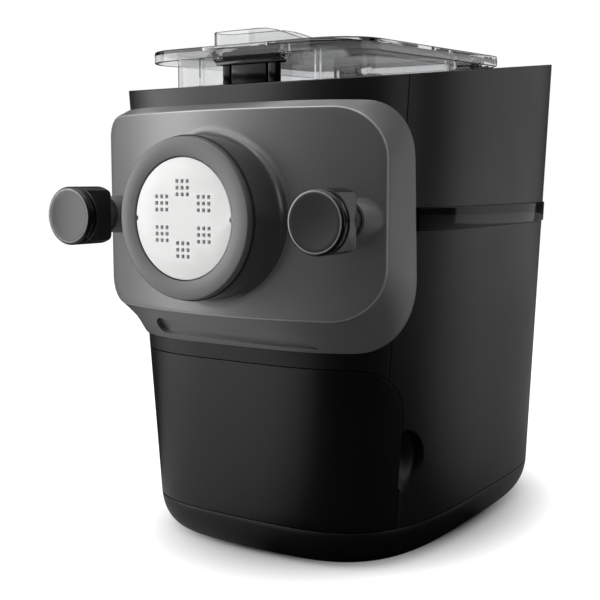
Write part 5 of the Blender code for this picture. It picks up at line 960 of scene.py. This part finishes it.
def makePanel():
    wall, fillet, collar = panel["wall"], panel["fillet"], panel["collarRadius"]
    front, fit, edgeSteps = panel["collarFrontY"], body["fit"], panel["edgeSteps"]
    rings = [axisRing(collar - back, lambda x, run=run: front + run)
             for run, back in quarterSteps(panel["collarEdge"], edgeSteps)]
    rings += [axisRing(collar + run, lambda x, back=back: faceDepth(x) - back)
              for run, back in quarterSteps(fillet, panel["filletSteps"])]
    start = collar + fillet
    for i in range(1, panel["faceSteps"]):
        ring = []
        for turn in panelTurns():
            reach = start + (faceReach(turn, panel["edgeRound"]) - start) * i / panel["faceSteps"]
            x = reach * math.cos(turn)
            ring.append((x, faceDepth(x), body["axisZ"] + reach * math.sin(turn)))
        rings.append(ring)
    firstEdge = len(rings)
    rings += [faceRing(back, run) for run, back in quarterSteps(panel["edgeRound"], edgeSteps)]
    brow, rim = rings[-1], rimEdgeRing(0.0, panel["proudEdge"])
    shares = [i / panel["bevelSteps"] for i in range(1, panel["bevelSteps"])] + [0.985]
    rings += [between(brow, rim, share, *panel["cornerSwell"]) for share in shares]
    rings += [rim, rimEdgeRing(0.0, panel["proudEdge"] - panel["rimRound"])]
    rings += [rimEdgeRing(0.0, -fit), rimEdgeRing(panel["rimWidth"], -fit), faceRing(wall, wall),
              axisRing(panel["collarBore"], lambda x: faceDepth(x) + wall),
              axisRing(panel["collarBore"], lambda x: front)]
    made = ringPiece("panel_shell", rings, finish["panelGraphite"], closed=True)
    paintRows(made, panel["columns"], {
        "edgeWearHighlightGraphite": (firstEdge, firstEdge + edgeSteps),       # the face edge is painted pale: part wear, part painted highlight
        "paintedShadeBlack": (0, edgeSteps),                              # painted shade: the collar's edge lies in the ring's shade and is painted near black
        "collarShadedGraphite": (edgeSteps, edgeSteps + 6),             # the collar's side is smoother than the face, and painted darker as shade
    })
    bosses, sockets = [], []
    bossFront, bossBack, edge = panel["bossFrontY"], panel["bossBackY"], panel["bossEdge"]
    radius, socket, hole = panel["bossFrontRadius"], panel["socketRadius"], panel["studHole"]
    for side in (-1, 1):
        centre = (side * knob["x"], body["axisZ"])
        profile = softCorner(bossFront, radius, edge) + [(bossBack, panel["bossBackRadius"])]
        bosses.append(tool("bossTool", turnedRings(profile, 72, centre)))
        profile = ((bossFront - past, socket), (panel["bossFloorY"], socket), (panel["bossFloorY"], hole),
                   (bossBack + past, hole))
        sockets.append(tool("socketTool", turnedRings(profile, 72, centre)))
    shape(made, "UNION", *bosses, gripBlock("gripBacking", *panel["gripBacking"]))
    seat = tool("seatTool", [bodyRing(z, -fit) for z in (panel["rimBottomZ"] - past, panel["rimTopZ"] + past)])
    shape(made, "DIFFERENCE", seat, *sockets, gripBlock("gripTool", -past, 0.0, 0.0))
    soften(made, 30)
    return place(made, "front_panel", "graphite", "front_panel")


def gripBlock(name, near, margin, extra):
    left, turnX, right = panel["gripSpan"]
    left, right = left - margin, right + margin
    rounding = panel["gripRounding"]
    first, second, third = panel["gripSteps"]
    stations = [left + rounding * (1 - math.cos(math.pi / 2 * i / first)) for i in range(first)]
    stations += [left + rounding + (turnX - left - rounding) * i / second for i in range(second)]
    stations += [turnX + (right - turnX) * i / third for i in range(third + 1)]
    rings = []
    for x in stations:
        along = (x - left) / (right - left)
        top = Vector((x, faceDepth(x) + panel["edgeRound"], panel["bottomZ"]))
        low = Vector((x, frontArc(panel["rimBottomZ"], abs(x), -panel["proudEdge"]).y, panel["rimBottomZ"]))
        down = (low - top).normalized()
        out = Vector((0, down.z, -down.y))
        upper, lower, depth = (start * (1 - along) + end * along for start, end in
                               (panel["gripUpper"], panel["gripLower"], panel["gripDepth"]))
        if x < left + rounding:
            full = math.sqrt(max(panel["gripTip"], 1 - ((left + rounding - x) / rounding) ** 2))
            middle, half = (upper + lower) / 2, (lower - upper) / 2 * full
            upper, lower = middle - half, middle + half
        if x > turnX:
            upper += (lower - panel["gripSliver"] - upper) * (x - turnX) / (right - turnX)
        wider = margin / (low - top).length
        rings.append([top + (low - top) * share - out * into
                      for share, into in ((upper - wider, near), (lower + wider, near),
                                          (lower + wider, depth + extra), (upper - wider, depth + extra))])
    return tool(name, rings)


makePanel()
print("front panel made")


# Ring, disc and knobs

ring = {"frontY": -0.1659, "backY": -0.1500, "radius": 0.0446, "window": 0.0340, "lip": 0.0035,
        "skirt": 0.0423, "bore": 0.0372, "edge": 0.0009, "windowEdge": 0.0004, "sides": 160}


def makeCapRing():
    front, radius, edge, inner = ring["frontY"], ring["radius"], ring["edge"], ring["windowEdge"]
    lipBack = front + ring["lip"]
    profile = [(front + inner, ring["window"]), (front + inner * 0.3, ring["window"] + inner * 0.3),
               (front, ring["window"] + inner)]
    profile += [(front + run, radius - back) for run, back in quarterSteps(edge, 5)]
    profile += [(lipBack, radius), (lipBack, ring["skirt"]), (ring["backY"], ring["skirt"]),
                (ring["backY"], ring["bore"]), (lipBack, ring["bore"]), (lipBack, ring["window"])]
    rings = turnedRings(profile, ring["sides"], (0, body["axisZ"]))
    made = ringPiece("cap_ring", rings, finish["ringGraphite"], closed=True)
    return place(made, "disc_cap", "ring_grey", "disc_cap_ring")


disc = {"frontY": -0.1654, "backY": -0.1592, "gap": 0.0006, "flange": 0.0366, "edge": 0.0006, "hole": 0.0021,
        "pitch": 0.0036, "groups": 6, "row": 3, "groupRadius": 0.0169, "pocket": 0.0232, "pocketDepth": 0.0040,
        "sides": 144, "notch": 0.0016, "notchDepth": 0.0014}


def makeDisc():
    axisZ = body["axisZ"]
    rimRadius = ring["window"] - disc["gap"]
    flangeFront = ring["frontY"] + ring["lip"] + body["fit"]
    profile = softCorner(disc["frontY"], rimRadius, disc["edge"])
    profile += [(flangeFront, rimRadius), (flangeFront, disc["flange"]), (disc["backY"], disc["flange"]),
                (disc["backY"], disc["pocket"]), (disc["backY"] - disc["pocketDepth"], disc["pocket"])]
    made = ringPiece("pasta_disc", turnedRings(profile, disc["sides"], (0, axisZ)), finish["discWhite"])
    bm = bmesh.new()
    half = disc["hole"] / 2
    for group in range(disc["groups"]):
        turn = math.pi / 2 + math.tau * group / disc["groups"]
        gx, gz = disc["groupRadius"] * math.cos(turn), disc["groupRadius"] * math.sin(turn)
        for i in range(disc["row"]):
            for j in range(disc["row"]):
                x = gx + (i - 1) * disc["pitch"]
                z = axisZ + gz + (j - 1) * disc["pitch"]
                outline = roundedOutline(x - half, x + half, z - half, z + half, (half * 0.3,) * 4, 2)
                addRings(bm, carriedOutline(outline, disc["frontY"] - past, disc["backY"] + past, "y"))
    for side in (-1, 1):
        outline = circlePoints(disc["notch"], 24, (side * rimRadius, axisZ))
        addRings(bm, carriedOutline(outline, disc["frontY"] - past, disc["frontY"] + disc["notchDepth"], "y"))
    shape(made, "DIFFERENCE", standPiece("discTools", bm, None))
    soften(made, 30)
    return place(made, "front_panel", "disc_white", "shaping_disc")


def makeKnob(side, hand):
    centre = (side * knob["x"], body["axisZ"])
    face, radius, chamfer, sides = knob["faceY"], knob["radius"], knob["chamfer"], knob["sides"]
    capBack = face + knob["cap"]
    capEdge, grooveEdge = knob["capEdge"], knob["grooveEdge"]
    profile = [(face + knob["dish"] * (1 - share ** 2), share * (radius - knob["flatFace"] * chamfer))
               for share in knob["shares"]]
    faceRows = len(profile) - 1
    profile += [(face + run, radius - back) for run, back in quarterSteps(chamfer, 5)[1:]]
    profile += [(capBack - body["fit"] - capEdge, radius), (capBack - body["fit"], radius - capEdge)]
    cap = ringPiece(f"{hand}_cap", turnedRings(profile, sides, centre), finish["knobBlack"])
    paintRows(cap, sides, {"panelGraphite": (faceRows, faceRows + 1),        # a pale lip round the face: part wear, part painted highlight
                           "glossBlack": (faceRows + 1, len(profile) - 1)})
    place(cap, f"{hand}_knob", "gloss_black", f"{hand}_knob_cap")
    grooveBack = capBack + knob["groove"]
    back, backRound = knob["backY"], knob["backRound"]
    deep = radius - knob["grooveDepth"]
    profile = [(capBack, knob["coreRadius"]), (capBack, deep), (grooveBack, deep),
               (grooveBack, radius - grooveEdge), (grooveBack + grooveEdge, radius)]
    profile += [(back - drop, radius - run) for run, drop in quarterSteps(backRound, 6)]
    profile += [(back, knob["neckRadius"]), (knob["neckBackY"], knob["neckRadius"])]
    grip = ringPiece(f"{hand}_grip", turnedRings(profile, sides, centre), finish["knobBlack"])
    paintRows(grip, sides, {"panelGraphite": (len(profile) - 2, len(profile) - 1)})      # the neck
    tools, reach = [], knob["reach"]
    for flat in (-1, 1):
        near, far = sorted((centre[0] + flat * reach, centre[0] + flat * knob["flatX"]))
        tools.append(boxTool("flatTool", (near, grooveBack + knob["groove"], body["axisZ"] - reach),
                             (far, back + backRound / 3, body["axisZ"] + reach)))
    tools.append(rodTool("boreTool", knob["bore"], knob["studRadius"] + knob["boreFit"], 32, centre))
    shape(grip, "DIFFERENCE", *tools)
    roundEdges(grip, knob["edge"], 2, 50)
    soften(grip, 30)
    place(grip, f"{hand}_knob", "gloss_black", f"{hand}_knob_grip")


makeCapRing()
makeDisc()
makeKnob(-1, "left")
makeKnob(1, "right")
print("ring, disc and knobs made")


# Clear pieces on top

lid = {
    "lowEdge": 0.0003, "lugGap": 0.0006, "slotCut": (0.28, 0.5), "pinCut": 0.028,
    "half": 0.0781, "frontY": -0.1149, "backY": 0.0880, "topZ": 0.3045, "depth": 0.00685, "slope": 0.034,
    "corner": 0.0300, "backCorner": 0.0120, "cornerSteps": 18, "wall": 0.0024, "edge": 0.0010,
    "hingeY": 0.0935, "hingeZ": 0.3080, "knuckleRadius": 0.0035, "knuckleLength": 0.0180, "knuckleX": 0.0450,
    "pinRadius": 0.0014, "lugThickness": 0.0025, "lugRadius": 0.0034,
}
inlet = {"leftX": -0.0480, "crestX": -0.0080, "rightX": 0.0410, "y": -0.0700, "halfDepth": 0.0110,
         "rise": 0.0121, "wall": 0.0018, "round": 0.0004, "sides": 72, "slotRightX": 0.0040}
latch = {
    "flangeHalf": 0.0226, "blockHalf": 0.0190, "frontY": -0.1055, "backY": -0.0975, "blockFrontY": -0.1035,
    "flangeTopZ": 0.2972, "flangeLowZ": 0.2942, "bottomZ": 0.2832, "axisY": -0.1005, "axisZ": 0.2995,
    "eyeRadius": 0.0024, "pinRadius": 0.0011, "plateHalf": 0.0125, "slit": 0.0014, "slitDepth": 0.0028,
    "boreCut": 0.04, "slitOver": 0.002, "edge": 0.0004,
}


def lidHeight(y, drop=0.0):
    return lid["topZ"] + lid["slope"] * (y - lid["frontY"]) - drop


def lidRing(inset, drop):
    corners = (lid["backCorner"] - inset,) * 2 + (lid["corner"] - inset,) * 2
    outline = roundedOutline(-lid["half"] + inset, lid["half"] - inset, lid["frontY"] + inset,
                             lid["backY"] - inset, corners, lid["cornerSteps"])
    return [(x, y, lidHeight(y, drop)) for x, y in outline]


def inletOutline(inset):
    depth = inlet["halfDepth"] - inset
    left, right = inlet["leftX"] + inlet["halfDepth"], inlet["rightX"] - inlet["halfDepth"]
    points = []
    for i in range(inlet["sides"]):
        turn = math.tau * i / inlet["sides"]
        middle = (left + right) / 2 + (right - left) / 2 * max(-1, min(1, 2 * math.cos(turn)))
        points.append((middle + depth * math.cos(turn), inlet["y"] + depth * math.sin(turn)))
    return points


def inletTop(x, y):
    share = min(max((x - inlet["crestX"]) / (inlet["rightX"] - inlet["crestX"]), 0), 1)
    return lidHeight(y) + inlet["rise"] * (1 - share * share * (3 - 2 * share)) + body["fit"]


def hingeTool(name, side, reach):
    outline = circlePoints(lid["pinRadius"] + body["fit"], 24, (lid["hingeY"], lid["hingeZ"]))
    middle = side * lid["knuckleX"]
    return carriedTool(name, outline, middle - reach, middle + reach)


def latchPinTool(name, reach):
    outline = circlePoints(latch["pinRadius"] + body["fit"], 20, (latch["axisY"], latch["axisZ"]))
    return carriedTool(name, outline, -reach, reach)


def makeLid():
    wall = lid["wall"]
    rings = [lidRing(lid["lowEdge"], lid["depth"]), lidRing(0.0, lid["depth"] - lid["lowEdge"])]
    rings += [lidRing(run, back) for run, back in quarterSteps(lid["edge"], 4)]
    made = ringPiece("clear_lid", rings, finish["clearPlastic"])
    shape(made, "DIFFERENCE", tool("lidHollow", [lidRing(wall, lid["depth"] + past), lidRing(wall, wall)]))
    rings = []
    for inset, drop in ((0.0, None), (0.0, inlet["round"]), (inlet["round"], 0.0),
                        (inlet["wall"] - inlet["round"], 0.0), (inlet["wall"], inlet["round"]),
                        (inlet["wall"], None)):
        rings.append([(x, y, lidHeight(y, wall / 2) if drop is None else inletTop(x, y) - drop)
                      for x, y in inletOutline(inset)])
    joined = [ringPiece("inletWall", rings, None, closed=True)]
    hinge, knuckle = (lid["hingeY"], lid["hingeZ"]), lid["knuckleRadius"]
    pin, lugRadius = (latch["axisY"], latch["axisZ"]), lid["lugRadius"]
    inside, ceiling = lid["backY"] - wall / 2, lidHeight(pin[0], wall / 2)
    for side in (-1, 1):
        outline = arcPoints(hinge, knuckle, -math.pi / 2, math.pi, 16)
        outline += [(inside, hinge[1] + knuckle / 2), (inside, hinge[1] - knuckle * 2 / 3)]
        middle, half = side * lid["knuckleX"], lid["knuckleLength"] / 2
        joined.append(carriedTool("knuckle", outline, middle - half, middle + half))
        near = latch["flangeHalf"] + lid["lugGap"]
        ends = sorted((side * near, side * (near + lid["lugThickness"])))
        outline = [(pin[0] - lugRadius, ceiling), *arcPoints(pin, lugRadius, math.pi, math.pi, 12),
                   (pin[0] + lugRadius, ceiling)]
        joined.append(carriedTool("lug", outline, *ends))
    shape(made, "UNION", *joined)
    half, edge = inlet["halfDepth"], 2 * inlet["wall"]
    slot = roundedOutline(inlet["leftX"] + edge, inlet["slotRightX"], inlet["y"] - half + edge,
                          inlet["y"] + half - edge, (half / 2,) * 4, 8)
    cuts = [carriedTool("slotTool", slot, *lid["slotCut"], "z"), latchPinTool("pinTool", lid["pinCut"])]
    for side in (-1, 1):
        cuts.append(hingeTool("hingeTool", side, lid["knuckleLength"] / 2 + past))
    shape(made, "DIFFERENCE", *cuts)
    soften(made, 30)
    return place(made, "lid", "clear", "lid")


chamber = {"half": 0.0690, "frontY": -0.0940, "backY": 0.0450, "round": 0.0150, "roundSteps": 8, "wall": 0.0024,
           "arcSteps": 40, "tubeHole": 0.0239, "sealHole": 0.0111, "run": 0.0006,
           "ribWidth": 0.0028, "ribDepth": 0.0030, "ribLowZ": 0.2700, "ribSunk": 0.0006, "ribDrop": 0.001,
           "ribs": ((-0.0440, "front"), (0.0400, "front"), (0.0240, "side"))}


def chamberTop(y):
    return lidHeight(y, lid["wall"]) - chamber["run"]


def troughRings(inset, rise):
    half, front, back = chamber["half"] - inset, chamber["frontY"] + inset, chamber["backY"] - inset

    def row(y, width):
        top = chamberTop(y) + rise
        points = [(width, y, top), (width, y, body["axisZ"])]
        for i in range(1, chamber["arcSteps"]):
            turn = -math.pi * i / chamber["arcSteps"]
            points.append((width * math.cos(turn), y, body["axisZ"] + width * math.sin(turn)))
        return points + [(-width, y, body["axisZ"]), (-width, y, top)]

    steps = quarterSteps(chamber["round"] - inset, chamber["roundSteps"])
    rings = [row(front + run, half - draw) for run, draw in steps]
    return rings + [row(back - run, half - draw) for run, draw in reversed(steps)]


def makeChamber():
    made = ringPiece("clear_chamber", troughRings(0.0, 0.0), finish["clearPlastic"])
    room = tool("chamberRoom", troughRings(chamber["wall"], past))
    axis, frontY, backY = (0, body["axisZ"]), chamber["frontY"], chamber["backY"]
    front = rodTool("tubeTool", (frontY - past, frontY + 2 * past), chamber["tubeHole"], 64, axis)
    back = rodTool("sealTool", (backY - 2 * past, backY + past), chamber["sealHole"], 48, axis)
    shape(made, "DIFFERENCE", room, front, back)
    ribs = []
    half, deep, sunk = chamber["ribWidth"] / 2, chamber["ribDepth"], chamber["ribSunk"]
    for spot, wallSide in chamber["ribs"]:
        if wallSide == "front":
            wallY = frontY + chamber["wall"]
            low = (spot - half, wallY - sunk, chamber["ribLowZ"])
            high = (spot + half, wallY + deep, chamberTop(frontY) - chamber["ribDrop"])
        else:
            wallX = chamber["half"] - chamber["wall"]
            low = (wallX - deep, spot - half, chamber["ribLowZ"])
            high = (wallX + sunk, spot + half, chamberTop(spot) - chamber["ribDrop"])
        ribs.append(boxTool("ribTool", low, high))
    shape(made, "UNION", *ribs)
    soften(made, 30)
    return place(made, "main_body", "clear", "mixing_chamber")


def makeLatch():
    backY, frontY, axisY, axisZ = latch["backY"], latch["blockFrontY"], latch["axisY"], latch["axisZ"]
    profile = [(frontY, latch["bottomZ"]), (backY, latch["bottomZ"]), (backY, axisZ)]
    for i in range(1, 14):
        turn = math.pi * i / 16
        profile.append((axisY + (backY - axisY) * math.cos(turn), axisZ + latch["eyeRadius"] * math.sin(turn)))
    profile.append((frontY, axisZ))
    half, flange = latch["blockHalf"], latch["flangeHalf"]
    made = ringPiece("latch_block", carriedOutline(profile, -half, half, "x"), finish["glossBlack"])
    shape(made, "UNION", boxTool("latchFlange", (-flange, latch["frontY"], latch["flangeLowZ"]),
                                 (flange, backY, latch["flangeTopZ"])))
    cuts, over = [latchPinTool("latchBore", latch["boreCut"])], latch["slitOver"]
    for side in (-1, 1):                       # a slit on each side leaves a middle plate between two legs
        near, far = sorted((side * latch["plateHalf"], side * (latch["plateHalf"] + latch["slit"])))
        cuts.append(boxTool("slitTool", (near, frontY - over, latch["bottomZ"] - over),
                            (far, frontY + latch["slitDepth"], latch["flangeLowZ"])))
    shape(made, "DIFFERENCE", *cuts)
    roundEdges(made, latch["edge"], 2, 50)
    soften(made, 35)
    return place(made, "lid_latch", "gloss_black", "lid_latch")


makeLid()
makeChamber()
makeLatch()
print("lid, chamber and latch made")


# Deck and controls

deck = {"drop": 0.0015, "thickness": 0.0025, "room": 0.0030, "earLength": 0.0050,
        "panelFrontY": 0.1010, "panelBackY": 0.1460, "panelHalf": 0.0700, "panelCorner": 0.0060,
        "panelThickness": 0.0030, "panelProud": 0.0008,
        "buttonX": 0.0480, "buttonRadius": 0.0080, "buttonProud": 0.0020, "buttonFlange": 0.0016,
        "buttonRound": 0.0008, "buttonCut": (-0.006, 0.006), "keyDome": ((0.0002, 0.6), (0.0004, 0.2)),
        "panelEdge": 0.0004, "panelCut": (-0.016, 0.008), "openingCut": (0.26, 0.5), "earCut": 0.019}


def deckPlate(grow, low, high, round=0.0):
    rings = []
    for rise, inset in ((low, 0.0), (high - round, 0.0), (high, round)) if round else ((low, 0.0), (high, 0.0)):
        outline = roundedOutline(-deck["panelHalf"] - grow + inset, deck["panelHalf"] + grow - inset,
                                 deck["panelFrontY"] - grow + inset, deck["panelBackY"] + grow - inset,
                                 (deck["panelCorner"] - inset,) * 4, 8)
        rings.append([(x, y, rimHeight(y, deck["drop"]) + rise) for x, y in outline])
    return rings


def deckDisc(stations, centre, sides=64):
    lean = math.atan(body["rimSlope"])
    origin = Vector((centre[0], centre[1], rimHeight(centre[1], deck["drop"])))
    across, up = Vector((0, math.cos(lean), math.sin(lean))), Vector((0, -math.sin(lean), math.cos(lean)))
    return [[origin + Vector((a, 0, 0)) + across * b + up * height for a, b in circlePoints(radius, sides)]
            for height, radius in stations]


def makeDeck():
    inset, fit = body["wall"] + body["fit"], body["fit"]
    rings = [rimRing(inset, deck["drop"] + deck["thickness"]), rimRing(inset, deck["drop"])]
    made = ringPiece("deck_plate", rings, finish["satinBlack"])
    room = deck["room"]
    outline = roundedOutline(-chamber["half"] - room, chamber["half"] + room, chamber["frontY"] - room,
                             chamber["backY"] + room, (chamber["round"] + room,) * 4, 10)
    shape(made, "DIFFERENCE", carriedTool("deckOpening", outline, *deck["openingCut"], "z"),
          tool("deckPanelHole", deckPlate(fit, *deck["panelCut"])))
    ears = []
    hinge, radius = (lid["hingeY"], lid["hingeZ"]), lid["knuckleRadius"]
    foot, half = rimHeight(hinge[0], deck["drop"]) - fit, deck["earLength"] / 2
    outline = arcPoints(hinge, radius, 0.0, math.pi, 16)
    outline += [(hinge[0] - radius, foot), (hinge[0] + radius, foot)]
    for side in (-1, 1):
        for end in (-1, 1):
            middle = side * lid["knuckleX"] + end * (lid["knuckleLength"] / 2 + fit + half)
            ears.append(carriedTool("earTool", outline, middle - half, middle + half))
    shape(made, "UNION", *ears)
    shape(made, "DIFFERENCE", *[hingeTool("earBore", side, deck["earCut"]) for side in (-1, 1)])
    soften(made, 30)
    return place(made, "main_body", "matte_black", "top_deck")


def makeControls():
    proud, low, fit = deck["panelProud"], deck["panelProud"] - deck["panelThickness"], body["fit"]
    flange, radius, top = deck["buttonFlange"], deck["buttonRadius"], proud + deck["buttonProud"]
    middleY = (deck["panelFrontY"] + deck["panelBackY"]) / 2
    plate = ringPiece("touch_panel", deckPlate(0.0, low, proud, deck["panelEdge"]), finish["glossBlack"])
    rod = [(height, radius + fit) for height in deck["buttonCut"]]
    holes = [tool("buttonTool", deckDisc(rod, (side * deck["buttonX"], middleY))) for side in (-1, 1)]
    shape(plate, "DIFFERENCE", *holes)
    soften(plate, 30)
    place(plate, "main_body", "gloss_black", "control_panel")
    stations = [(low - fit - flange, radius + flange), (low - fit, radius + flange), (low - fit, radius)]
    stations += [(top - back, radius - run) for run, back in quarterSteps(deck["buttonRound"], 4)]
    stations += [(top - drop, radius * share) for drop, share in deck["keyDome"]]
    for side, name in ((-1, "power_button"), (1, "start_button")):
        rings = deckDisc(stations, (side * deck["buttonX"], middleY))
        key = ringPiece(name + "_key", rings, finish["knobBlack"])
        place(key, name, "gloss_black", name)


makeDeck()
makeControls()
print("deck and controls made")


# The nodes that keep their CAD shape get the same finishes

carried = {
    "satinBlack": ("gearbox_case", "gearbox_cover"),
    "innerPlastic": ("chassis", "drawer_tray", "drawer_runner_left", "drawer_runner_right", "extrusion_tube",
                     "mixing_paddle", "extrusion_screw", "lid_switch", "cooling_fan"),
    "gearPlastic": ("output_gear", "idler_gear"),
    "turnedSteel": ("drive_shaft", "idler_axle", "motor_rotor", "bearing_front", "bearing_rear", "latch_pin",
                    "lid_hinge_pin_left", "lid_hinge_pin_right", "knob_stud_left", "knob_stud_right"),
    "brushedSteel": ("motor_can", "load_cell_front_left", "load_cell_front_right", "load_cell_rear_left",
                     "load_cell_rear_right"),
    "softRubber": ("foot_front_left", "foot_front_right", "foot_rear_left", "foot_rear_right", "chamber_seal",
                   "cord_gland"),
    "coatedBoard": ("main_board", "control_board"),
}
for finishName, names in carried.items():
    for name in names:
        for i in range(len(nodes[name].data.materials)):
            nodes[name].data.materials[i] = finish[finishName]
print("carried nodes finished")
